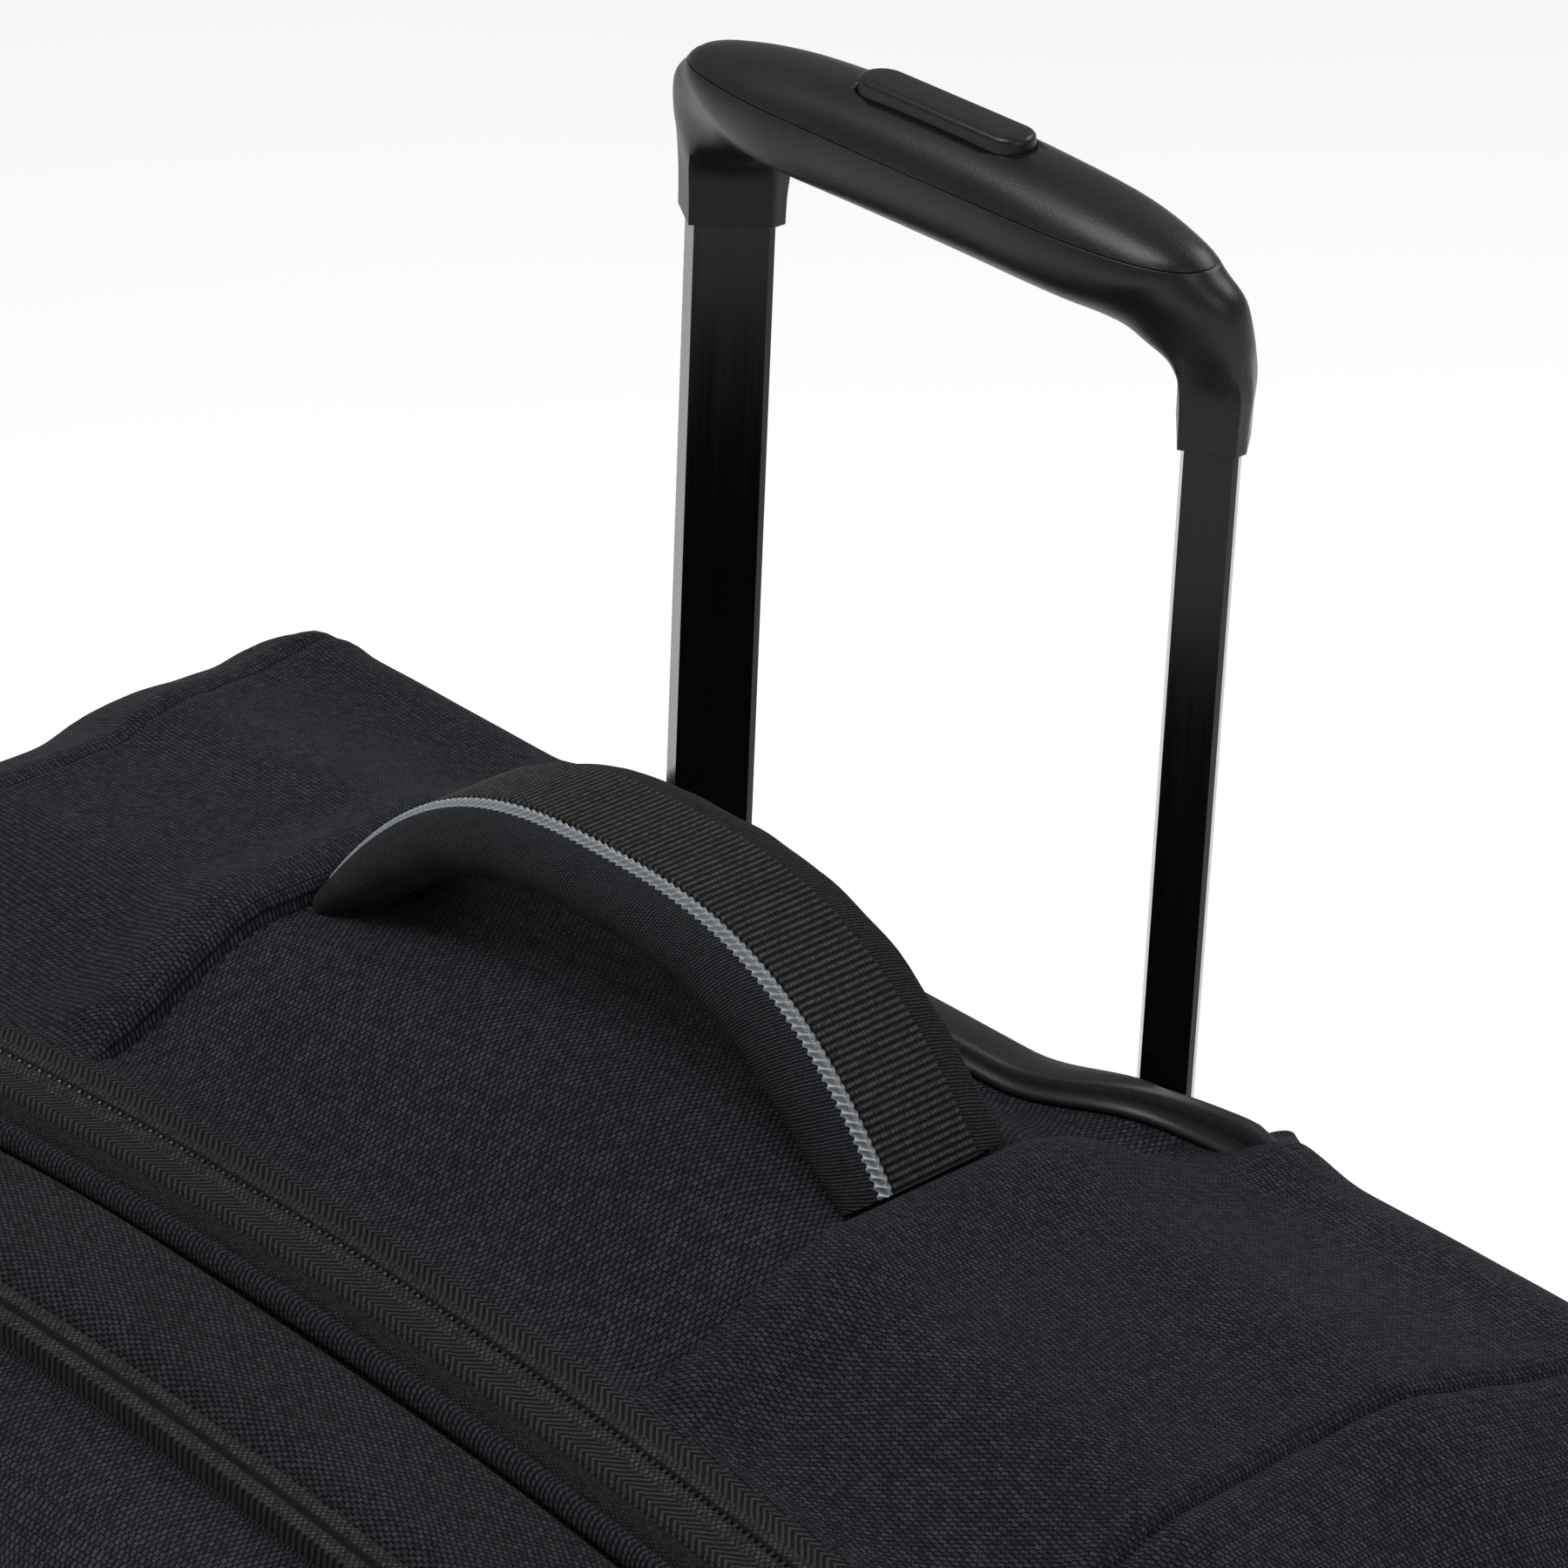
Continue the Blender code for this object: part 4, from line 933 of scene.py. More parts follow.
def main_zip():
    """Both halves of the zip round the case, each with its own teeth."""
    for away, body, node in ((1, "case", "main_zip_body_half"), (-1, "lid", "main_zip_lid_half")):
        rows, us, vs = tape_rows(away)
        obj = loft(node.replace("main_zip", "zip_tape"), rows, ["tape"], ring=True, loop=True, us=us, vs=vs)
        wear_body(obj, body, "zip", node)
        coil(node.replace("main_zip", "zip_coil"), away, body)


# Lid.


def lid_sections():
    """(y, out, look) along the lid's side, from the zip's tape to the front face."""
    tape_end = ZIP_Y - TAPE_WIDTH
    rows = [(tape_end, 0.0006, 0), (tape_end - 0.0012, 0.0003, 0), (tape_end - 0.0035, -0.0004, 0)]
    rows += [(PIPING_Y + PIPING_RADIUS + 0.0006, -0.0026, 0), (PIPING_Y + PIPING_RADIUS, -0.0050, 0)]
    rows += [(BAND_BACK_Y + 0.0002, -0.0050, 1), (BAND_BACK_Y, -0.0024, 1)]
    rows.append((BAND_BACK_Y - 0.0014, -0.0010, 1))
    front = LID_FRONT_Y + 0.0150
    for y in steps(BAND_BACK_Y - 0.003, front, 0.003):
        rows.append((y, -0.0006 - 0.0004 * math.sin((BAND_BACK_Y - y) * 90), 1))
    for a in steps(0.0, math.pi / 2, 0.22)[1:]:
        rows.append((front - 0.0140 * math.sin(a), -0.0010 - 0.0140 * (1 - math.cos(a)), 1))
    return rows


def lid_shell():
    """The lid's sides, front and lining as one tray."""
    outer = lid_sections()
    ss = whole_outline(0.0034)
    rows, looks, vs = [], [], []
    for y, out, look in outer:
        rows.append([place(s, y, out + (soft_wave(s, y * 2) if look else 0.0)) for s in ss])
        looks.append(look)
        vs.append(-y)
    front_y = outer[-1][0]
    centre_z = (TOP_Z + BOTTOM_Z) / 2
    edge = rows[-1]
    depth = vs[-1]
    for scale in (0.97, 0.9, 0.75, 0.5, 0.25, 0.01):
        rows.append([(x * scale, front_y - 0.0002, centre_z + (z - centre_z) * scale) for x, _, z in edge])
        looks.append(1)
        vs.append(depth + (1 - scale) * 0.25)
    inside_y = front_y + WALL
    edge = [place(s, inside_y, -0.0150) for s in ss]
    for scale in (0.01, 0.25, 0.5, 0.75, 0.9, 1.0):
        rows.append([(x * scale, inside_y, centre_z + (z - centre_z) * scale) for x, _, z in edge])
        looks.append(2)
        vs.append(vs[-1] + 0.05)
    for y, out in ((inside_y + 0.006, -0.0075), (BAND_BACK_Y, -0.0058), (ZIP_Y - TAPE_WIDTH, -0.0040)):
        rows.append([place(s, y, out) for s in ss])
        looks.append(2)
        vs.append(vs[-1] + 0.02)
    looks_after = looks[1:] + [2]
    obj = loft("lid_fabric", rows, ["plain", "rib", "lining"], ring=True, loop=True,
               us=vs + [vs[-1] + 0.005], vs=ss + [S_END], look_of=lambda i, j: looks_after[i], angle=80)
    wear_body(obj, "lid", "fabric", "lid_shell")
    line = [place(s, PIPING_Y, -0.0008) for s in whole_outline(0.0040)]
    piping = tube_along("lid_piping", line, PIPING_RADIUS, "cord", sides=14, loop=True)
    wear_body(piping, "lid", "fabric")


def pocket_loop(inset, spacing=0.0036):
    """(x, z) once round the pocket's flap, which ends at its foot."""
    foot = FLAP_LOW.z - 0.0085 + inset
    points = []
    for s in whole_outline(spacing):
        x, _, z = place(s, 0.0, -inset)
        if z > foot + 0.003:
            points.append((x, z))
    half = points[-1][0]
    points += [(x, foot) for x in steps(half - 0.0015, -half + 0.0015, spacing)]
    return points


def front_pocket():
    """The padded flap, its zip round the top and sides, and the seam along its foot."""
    back = FLAP_HIGH.y
    front = FLAP_LOW.y
    loop = pocket_loop(0.0)
    centre = (0.0, (FLAP_LOW.z + FLAP_HIGH.z) / 2)

    def scaled(inset, y):
        """The loop drawn in towards the flap's middle by about the same distance all round."""
        row = []
        for x, z in loop:
            dx, dz = x - centre[0], z - centre[1]
            kx = 1 - inset / FLAP_HIGH.x
            kz = 1 - inset / (FLAP_HIGH.z - centre[1])
            row.append((centre[0] + dx * kx, y, centre[1] + dz * kz))
        return row

    rows = [scaled(0.0105, back), scaled(0.0085, back - 0.0014), scaled(0.0080, back - 0.0040)]
    rows.append(scaled(0.0082, back - 0.0100))
    turn = 0.0200
    for a in steps(0.0, math.pi / 2, 0.13)[1:]:
        y = back - 0.0100 - (back - 0.0100 - front - 0.0012) * math.sin(a)
        rows.append(scaled(0.0082 + turn * (1 - math.cos(a)), y))
    rim = 0.0082 + turn
    for inset in (0.034, 0.045, 0.060, 0.080, 0.105, 0.135, 0.165, 0.190, 0.208, FLAP_HIGH.x):
        crown = 0.0012 * eased((inset - rim) / 0.05)
        rows.append(scaled(inset, front + 0.0012 - crown))
    outside = len(rows)
    for inset in (FLAP_HIGH.x, 0.150, 0.080, 0.034):
        rows.append(scaled(inset, front + 0.0046))
    rows += [scaled(0.0150, front + 0.0120), scaled(0.0130, back - 0.0060), scaled(0.0130, back - 0.0002)]
    obj = loft("pocket_fabric", rows, ["dobby", "lining"], ring=True, loop=True, angle=80,
               look_of=lambda i, j: 1 if i >= outside - 1 else 0)
    layer = obj.data.uv_layers["weave"]
    for polygon in obj.data.polygons:
        across, upright, level = (abs(n) for n in polygon.normal)
        use_x = upright > 0.5 or level > 0.7
        use_z = upright > 0.5 or across > 0.7
        for index in polygon.loop_indices:
            p = obj.data.vertices[obj.data.loops[index].vertex_index].co
            layer.data[index].uv = (p.x if use_x else p.y, p.z if use_z else p.y)
    wear_body(obj, "front_pocket", "fabric", "front_pocket_flap")
    seam = [Vector(p) for p in scaled(0.0300, front + 0.0004)]
    piping = tube_along("pocket_piping", scaled(0.0092, back - 0.0022), 0.0020, "binding", loop=True)
    wear_body(piping, "front_pocket", "fabric")
    stitches("pocket_stitching", seam, [Vector((0, -1, 0))] * len(seam), "front_pocket")
    pocket_zip([(x, z) for x, z in loop if z > FLAP_LOW.z + 0.003])


def pocket_zip(path):
    """The pocket zip's tape on the lid, round the top and sides of the flap."""
    section = ((0.0046, -0.0062), (0.0046, 0.0), (0.0044, 0.0009), (0.0016, 0.0012), (0.0, 0.0004),
               (-0.0016, 0.0012), (-0.0044, 0.0009), (-0.0046, 0.0), (-0.0046, -0.0062))
    y = LID_FRONT_Y + 0.0006
    inward = 0.0040
    rows = []
    for i, (x, z) in enumerate(path):
        ax, az = path[max(i - 1, 0)]
        bx, bz = path[min(i + 1, len(path) - 1)]
        length = math.hypot(bx - ax, bz - az)
        nx, nz = (bz - az) / length, -(bx - ax) / length
        side = 1.0 if nx * x + nz * (z - 0.33) > 0 else -1.0
        nx, nz = nx * side, nz * side
        sunk = [(across, inward - out) for across, out in section]
        rows.append([(x - nx * depth, y + across, z - nz * depth) for across, depth in sunk])
    vs = [abs(across) for across, _ in section]
    obj = loft("pocket_zip_tape", rows, ["tape"], vs=vs + [0.0])
    wear_body(obj, "lid", "zip")


# Rigid nodes kept from the CAD.


def soften(node, look, width=0.0006, segments=3):
    """Rounds a CAD node's edges and gives it its look."""
    obj = NODES[node]
    obj.data.materials.clear()
    obj.data.materials.append(LOOKS[look])
    if width:
        weld = obj.modifiers.new("weld", "WELD")
        weld.merge_threshold = 0.00001
        bevel = obj.modifiers.new("bevel", "BEVEL")
        bevel.width = width
        bevel.segments = segments
        bevel.limit_method = "ANGLE"
        bevel.angle_limit = math.radians(35)
        bevel.harden_normals = False
        smooth = obj.modifiers.new("smooth", "WEIGHTED_NORMAL")
        smooth.keep_sharp = False
    return obj


def keep_nodes():
    """The looks of the rigid nodes that are shown as they are."""
    for side in ("left", "right"):
        for node in ("inner_tube", "middle_tube", "outer_tube"):
            soften(f"{node}_{side}", "tube", 0.0004)
        for node in ("tube_foot", "wheel_housing", "foot", "back_skid"):
            soften(f"{node}_{side}", "plastic", 0.0008)
        for node in ("wheel_axle", "release_rod", "lock_pin"):
            soften(f"{node}_{side}", "steel", 0.0003)
    soften("release_bar", "plastic", 0.0004)
    soften("body_frame_wire", "steel", 0.0)
    soften("lid_frame_wire", "steel", 0.0)
    soften("top_handle_stiffener", "board", 0.0004)
    soften("liner_board", "lining", 0.0004)
    soften("packing_buckle", "plastic", 0.0006)


# Trolley housing and grip.


def offset_outline(outline, distance):
    """A closed, counter-clockwise outline moved outwards, with mitred corners."""
    moved = []
    count = len(outline)
    for i in range(count):
        before, here, after = outline[i - 1], outline[i], outline[(i + 1) % count]
        ax, ay = here[0] - before[0], here[1] - before[1]
        bx, by = after[0] - here[0], after[1] - here[1]
        la, lb = math.hypot(ax, ay), math.hypot(bx, by)
        na, nb = (ay / la, -ax / la), (by / lb, -bx / lb)
        scale = distance / (1 + na[0] * nb[0] + na[1] * nb[1])
        moved.append((here[0] + (na[0] + nb[0]) * scale, here[1] + (na[1] + nb[1]) * scale))
    return moved


def tube_outline(side, grow):
    placed = [(side * (TUBE_X - x), TUBE_Y + y) for x, y in offset_outline(TUBE_SECTION, grow)]
    return placed if side < 0 else placed[::-1]


def housing():
    """The moulding round the tubes: a lip, a face and a ridge in front, and a sloping tray behind."""
    rows = []
    for k in range(81):
        x = -HOUSING_HALF + 2 * HOUSING_HALF * k / 80
        x = math.copysign(HOUSING_HALF * (1 - max(1 - abs(x) / HOUSING_HALF, 0.0) ** 1.25), x)
        f, r, t, h = lip_y(x), ridge_y(x), ridge_z(x), lip_z(x)
        sunk = eased((abs(x) - HOUSING_HALF + 0.0090) / 0.0090)
        t, h = t - 0.0050 * sunk, h - 0.0040 * sunk
        raised = eased((abs(x) - 0.0840) / 0.0150)
        low, b, tray = HOUSING_LOW.z, BACK_Y + 0.0006, t - between(0.0195, 0.0170, raised)
        half_back = between(between(t - 0.0040, tray, 0.5), t - 0.0075, raised)
        section = [
            (f + 0.0036, low), (f + 0.0030, h - 0.0050), (f + 0.0006, h - 0.0016), (f - 0.0002, h - 0.0010),
            (f - 0.0005, h - 0.0004), (f - 0.0004, h + 0.0002), (f + 0.0002, h + 0.0007),
            (f + 0.0008, h + 0.0010), (f + 0.0013, (h + t) / 2), (f + 0.0019, t - 0.0010),
            (f + 0.0025, t - 0.0004), (f + 0.0032, t - 0.0001), (between(f + 0.0032, r, 0.5), t + 0.0002),
            (r, t), (r + 0.0008, t - 0.0004), (r + 0.0013, t - 0.0014),
            (r + 0.0016, t - 0.0040), (between(r, b, 0.5), half_back), (b - 0.0016, tray),
            (b - 0.0004, tray - 0.0006), (b, tray - 0.0020), (b, low),
        ]
        rows.append([(x, y, z) for y, z in section])
    obj = loft("trolley_housing_shell", rows, ["housing"], ring=True, caps=True, angle=50)
    for side in (-1, 1):
        outline = tube_outline(side, STAGE_STEP + 0.0004)
        tool = prism("housing_hole", outline, HOUSING_LOW.z - 0.01, RIDGE_Z + 0.03)
        cut(obj, tool)
        discard(tool)
    wear_body(obj, "case", "moulding", "trolley_housing")


def tube_bushes():
    """The wiper rings on top of the middle tubes, lower at the back."""
    for name, side in (("left", -1), ("right", 1)):
        low, high = box(f"middle_tube_bush_{name}")
        rows = []
        outside, inside = STAGE_STEP - 0.0002, 0.0003
        edges = ((outside, False, 0.0), (outside, True, 0.0006), (outside - 0.0004, True, 0.0),
                 (inside, True, 0.0), (inside, False, 0.0))
        for grow, top, short in edges:
            ring = []
            for x, y in tube_outline(side, grow):
                height = high.z - short - 0.80 * max(y - TUBE_Y - 0.0040, 0.0)
                ring.append((x, y, max(height, low.z + 0.0004) if top else low.z))
            rows.append(ring)
        obj = loft(f"tube_bush_{name}", rows, ["plastic"], ring=True, loop=True, angle=40)
        wear_body(obj, "middle_stage", "moulding", f"middle_tube_bush_{name}")


def grip_section(outer, inner, front, back, count=48):
    ring = []
    for k in range(count):
        a = 2 * math.pi * k / count
        c, s = math.cos(a), math.sin(a)
        depth = -math.copysign(abs(c) ** 0.88, c)
        radial = -math.copysign(abs(s) ** 0.88, s)
        share = (radial + 1) / 2
        y = (front + back) / 2 + depth * (back - front) / 2
        ring.append(Vector((between(inner[0], outer[0], share), y, between(inner[1], outer[1], share))))
    return ring


def collar_section(grow, z):
    """The collar's section, 48 points round the left tube from its front ridge."""
    outline = offset_outline(TUBE_SECTION, grow)
    counts = (15, 3, 12, 6, 3, 9)
    ring = []
    for i, count in enumerate(counts):
        a, b = outline[i], outline[(i + 1) % len(outline)]
        for k in range(count):
            x, y = between(a[0], b[0], k / count), between(a[1], b[1], k / count)
            ring.append(Vector((-TUBE_X + x, TUBE_Y + y, z)))
    return ring


def curved(a, b, c, d, t):
    """The Catmull-Rom curve from b to c at t."""
    square, cube = 2 * a - 5 * b + 4 * c - d, 3 * b - a - 3 * c + d
    return 0.5 * ((2 * b) + (c - a) * t + square * t * t + cube * t ** 3)


def smooth_rows(rows, fine):
    """Rows added between given ones, on Catmull-Rom curves."""
    made = []
    for i in range(len(rows) - 1):
        a, b, c, d = rows[max(i - 1, 0)], rows[i], rows[i + 1], rows[min(i + 2, len(rows) - 1)]
        for k in range(fine):
            made.append([curved(p, q, r, s, k / fine) for p, q, r, s in zip(a, b, c, d)])
    return made + [rows[-1]]


def grip_rows():
    """Sections of the grip, from the left collar's foot over the bar to the right one's."""
    front, back = GRIP_LOW.y, GRIP_HIGH.y
    half = GRIP_HIGH.x + 0.0004
    top, under = COVER_HIGH.z + 0.0003, COLLAR_Z + 0.0215
    corner = (
        # outer x inwards, outer z below the top, inner x, inner z above the underside, share of the bar's
        # section, share of the way forwards, and how far its back falls short
        (0.0030, -0.0290, 0.0550, -0.0085, 0.25, 0.0, 0.0024),
        (0.0028, -0.0212, 0.0535, -0.0040, 0.60, 0.04, 0.0026),
        (0.0044, -0.0150, 0.0508, -0.0018, 0.85, 0.22, 0.0030),
        (0.0088, -0.0104, 0.0460, -0.0006, 1.0, 0.50, 0.0034),
        (0.0150, -0.0060, 0.0390, -0.0001, 1.0, 0.82, 0.0026),
    )
    left = [collar_section(0.0014, COLLAR_Z), collar_section(0.0015, COLLAR_Z + 0.0060)]
    left.append(collar_section(0.0018, COLLAR_Z + 0.0120))
    for ox, oz, ix, iz, share, reach, short in corner:
        forward = between(TUBE_Y - 0.0030, front, reach)
        ring = grip_section((-half + ox, top + oz), (-ix, under + iz), forward, back - short)
        base = collar_section(0.0020, COLLAR_Z + 0.0170)
        left.append([a.lerp(b, min(share * 1.35, 1.0)) for a, b in zip(base, ring)])
    for x, inner, sink in ((0.0480, 0.0300, 0.0026), (0.0240, 0.0160, 0.0006), (0.0, 0.0, 0.0)):
        left.append(grip_section((-x, top - sink), (-inner, under), front, back))
    right = [[Vector((-p.x, p.y, p.z)) for p in ring] for ring in left[-2::-1]]
    return smooth_rows(left + right, 5)


def sliced(obj, z, keep_above, inset=0.00012):
    """Cuts an object at a height and closes the cut with a small rounded edge."""
    shape = bmesh.new()
    shape.from_mesh(obj.data)
    level = z + inset if keep_above else z - inset
    found = bmesh.ops.bisect_plane(
        shape, geom=shape.verts[:] + shape.edges[:] + shape.faces[:], plane_co=(0, 0, level),
        plane_no=(0, 0, 1), clear_inner=keep_above, clear_outer=not keep_above,
    )
    edges = [e for e in found["geom_cut"] if isinstance(e, bmesh.types.BMEdge)]
    bmesh.ops.holes_fill(shape, edges=edges)
    bmesh.ops.recalc_face_normals(shape, faces=shape.faces)
    shape.to_mesh(obj.data)
    shape.free()
    obj.data.set_sharp_from_angle(angle=math.radians(50))
    bevel = obj.modifiers.new("edge", "BEVEL")
    bevel.width = 0.0002
    bevel.segments = 2
    bevel.limit_method = "ANGLE"
    bevel.angle_limit = math.radians(50)
    return obj


def pill(half_length, radius, fine=10):
    """The button's outline, straight with round ends."""
    centre_y = (BUTTON_LOW.y + BUTTON_HIGH.y) / 2
    straight = half_length - radius
    right = [(straight + radius * math.cos(a), centre_y + radius * math.sin(a))
             for a in steps(-math.pi / 2, math.pi / 2, math.pi / fine)]
    return right + [(-x, 2 * centre_y - y) for x, y in right]


def grip():
    """The grip's two shells, its button and the spring under it."""
    rows = grip_rows()
    parting = (GRIP_HIGH.z + COVER_LOW.z) / 2
    lower = sliced(loft("grip_shell", rows, ["grip"], ring=True, caps=True, angle=50), parting, False)
    cover = loft("grip_cover", rows, ["grip"], ring=True, caps=True, angle=50)
    half, radius = BUTTON_HIGH.x, (BUTTON_HIGH.y - BUTTON_LOW.y) / 2
    cover = sliced(cover, parting, True)
    cover.modifiers.clear()
    tool = prism("button_hole", pill(half + 0.0004, radius + 0.0004), parting - 0.01, BUTTON_HIGH.z + 0.01)
    cut(cover, tool)
    discard(tool)
    wear_body(lower, "grip_stage", "moulding", "grip_lower_shell")
    wear_body(cover, "grip_stage", "moulding", "grip_top_cover")
    top = BUTTON_HIGH.z
    levels = ((BUTTON_LOW.z, 0.0), (top - 0.0012, 0.0), (top - 0.0007, 0.00015), (top - 0.0003, 0.0005),
              (top - 0.00005, 0.0011), (top, 0.0020), (top + 0.0001, 0.0035), (top + 0.0001, 0.0048))
    button = loft("button_cap", [[(x, y, z) for x, y in pill(half - i, radius - i)] for z, i in levels],
                  ["grip"], ring=True, caps=True, angle=50)
    wear_body(button, "push_button", "moulding", "release_button")
    low, high = box("button_spring")
    centre, wire = (low + high) / 2, 0.0004
    radius, reach = (high.x - low.x) / 2 - wire, high.z - low.z - 2 * wire
    turns = 3.0
    coils = [(centre.x + radius * math.cos(a), centre.y + radius * math.sin(a),
              low.z + wire + reach * a / (2 * math.pi * turns))
             for a in steps(0.0, 2 * math.pi * turns, 0.25)]
    spring = tube_along("button_spring_wire", coils, wire, "steel", sides=8)
    wear_body(spring, "grip_stage", "steel", "button_spring")
    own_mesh(spring)


# Carry handles.


class Strap:
    """An arched strap. u runs along the arch, across is the strap's width, lift is outwards."""

    def __init__(self, half_span, rise, fullness, put, samples=160):
        self.put = put
        raw = []
        for k in range(samples + 1):
            share = math.sin(math.pi / 2 * (-1 + 2 * k / samples))
            raw.append((share * half_span, rise * (1 - abs(share) ** fullness)))
        total = [0.0]
        for a, b in zip(raw, raw[1:]):
            total.append(total[-1] + math.hypot(b[0] - a[0], b[1] - a[1]))
        self.raw, self.total = raw, total
        self.length = total[-1]

    def frame_at(self, u):
        u = min(max(u, 0.0), self.length)
        low, high = bracket(self.total, u)
        share = (u - self.total[low]) / max(self.total[high] - self.total[low], 1e-9)
        a, b = self.raw[low], self.raw[high]
        before, after = self.raw[max(low - 2, 0)], self.raw[min(high + 2, len(self.raw) - 1)]
        dx, dh = after[0] - before[0], after[1] - before[1]
        size = math.hypot(dx, dh)
        return between(a[0], b[0], share), between(a[1], b[1], share), -dh / size, dx / size

    def point(self, u, across, lift):
        x, h, nx, nh = self.frame_at(u)
        return self.put(x + nx * lift, across, h + nh * lift)

    def normal(self, u):
        a, b = Vector(self.point(u, 0.0, 0.0)), Vector(self.point(u, 0.0, 1.0))
        return b - a


def pad_rows(strap, section, spacing, thin):
    """Rows of a pad's section along a strap, thinner towards its ends, and the distances along it."""
    us = steps(0.0, strap.length, spacing)
    rows = []
    for u in us:
        share = abs(2 * u / strap.length - 1)
        scale = 1 - thin * share ** 5
        wobble = 0.00025 * math.sin(u * 310) + 0.0002 * math.sin(u * 131 + 1)
        heights = [lift * scale + (wobble if lift < -0.002 else 0.0) for _, lift in section]
        rows.append([strap.point(u, across, height) for (across, _), height in zip(section, heights)])
    return rows, us


def rounded(points, fine=4):
    """A closed outline smoothed by Catmull-Rom curves."""
    vectors = [Vector(p) for p in points]
    count = len(vectors)
    made = []
    for i in range(count):
        p, q, r, s = (vectors[(i + k) % count] for k in (-1, 0, 1, 2))
        for k in range(fine):
            v = curved(p, q, r, s, k / fine)
            made.append((v.x, v.y))
    return made


def webbing_strip(name, strap, first, last, lift):
    """Ribbed webbing whose ribs are in the mesh, from one edge to the other."""
    thick = 0.0010
    us = steps(0.0, strap.length, RIB_PITCH / 6)
    across = [first, first] + steps(first + 0.0003, last - 0.0003, 0.0020) + [last, last]
    rows = []
    for u in us:
        rib = 0.00040 * (abs(math.cos(math.pi * u / RIB_PITCH)) ** 0.7)
        row = []
        for k, a in enumerate(across):
            edge = k in (0, len(across) - 1)
            shoulder = k in (1, len(across) - 2)
            height = 0.0 if edge else thick * (0.5 if shoulder else 1.0) + rib
            row.append(strap.point(u, a, lift + height))
        rows.append(row)
    vs = [a - first for a in across]
    obj = loft(name, rows, ["webbing"], us=us, vs=vs + [vs[-1]], angle=80)
    return obj


def top_handle():
    """The carry handle: a pad with a knit roll, ribbed webbing, a pale braid and a mesh underside."""
    end_z = PAD_LOW.z + 0.0016
    strap = Strap(CENTRE_SEAM_X + 0.0008, TOP_Z + 0.0560 - end_z, 2.75, lambda x, a, h: (x, a, end_z + h))
    front, back = TUBE_Y - 0.0915, TUBE_Y - 0.0496
    belt_front, belt_back = BELT_LOW.y, BELT_HIGH.y
    section = rounded([
        (belt_back, -0.0004), (belt_back - 0.011, -0.0006), (belt_front, -0.0004), (front + 0.0062, 0.0002),
        (front + 0.0030, -0.0012), (front + 0.0006, -0.0042), (front, -0.0078), (front + 0.0014, -0.0112),
        (front + 0.0046, -0.0134), (front + 0.0090, -0.0136), (front + 0.0130, -0.0122),
        (back - 0.0110, -0.0118), (back - 0.0050, -0.0112), (back - 0.0014, -0.0086), (back, -0.0050),
        (back - 0.0012, -0.0020), (back - 0.0046, -0.0006),
    ])
    rows, us = pad_rows(strap, section, 0.0024, 0.45)
    vs = distances([(a, lift, 0.0) for a, lift in section] + [(*section[0], 0.0)])
    meshed = (front + 0.0060, back - 0.0040)
    under = [k for k, (a, lift) in enumerate(section) if lift < -0.0100 and meshed[0] < a < meshed[1]]
    obj = loft("handle_pad", rows, ["knit", "mesh"], ring=True, caps=True, us=us, vs=vs,
               look_of=lambda i, j: 1 if j in under else 0, angle=80)
    wear_body(obj, "case", "trim_fabric", "top_handle_pad")
    belt = webbing_strip("handle_webbing", strap, belt_front - 0.0004, belt_back, 0.0)
    wear_body(belt, "case", "webbing", "top_handle_webbing")
    braid(strap, belt_front - 0.0040, belt_front - 0.0004)
    line = []
    for u in us:
        thinner = 1 - 0.45 * abs(2 * u / strap.length - 1) ** 5
        line.append(strap.point(u, front + 0.0072, -0.0136 * thinner))
    ridge = tube_along("handle_under_seam", line, 0.0012, "binding", sides=8)
    wear_body(ridge, "case", "trim_fabric")


def braid(strap, first, last):
    """The pale stripe: two rows of plaited loops, its front edge scalloped."""
    pitch = 0.0019
    us = steps(0.0, strap.length, pitch / 8)
    rows = []
    fine = 14
    for u in us:
        row = []
        for k in range(fine + 1):
            share = k / fine
            scallop = 0.00045 * math.sin(2 * math.pi * u / pitch) * (1 - share) ** 2
            across = between(first, last, share) + scallop
            half = 0.5 - abs(share - 0.5)
            bulge = 0.0009 * math.sqrt(max(min(half * 2.4, 1.0), 0.0))
            phase = (0.55 if share > 0.5 else 0.0) + abs(share - 0.5) * 1.3
            plait = 0.00042 * math.sin(2 * math.pi * (u / pitch + phase))
            row.append(strap.point(u, across, 0.0001 + bulge + plait * min(half * 6, 1.0)))
        rows.append(row)
    vs = [between(first, last, k / fine) - (first + last) / 2 for k in range(fine + 1)]
    obj = loft("handle_stripe", rows, ["stripe"], us=us, vs=vs + [vs[-1]], angle=80)
    wear_body(obj, "case", "stripe", "top_handle_stripe")


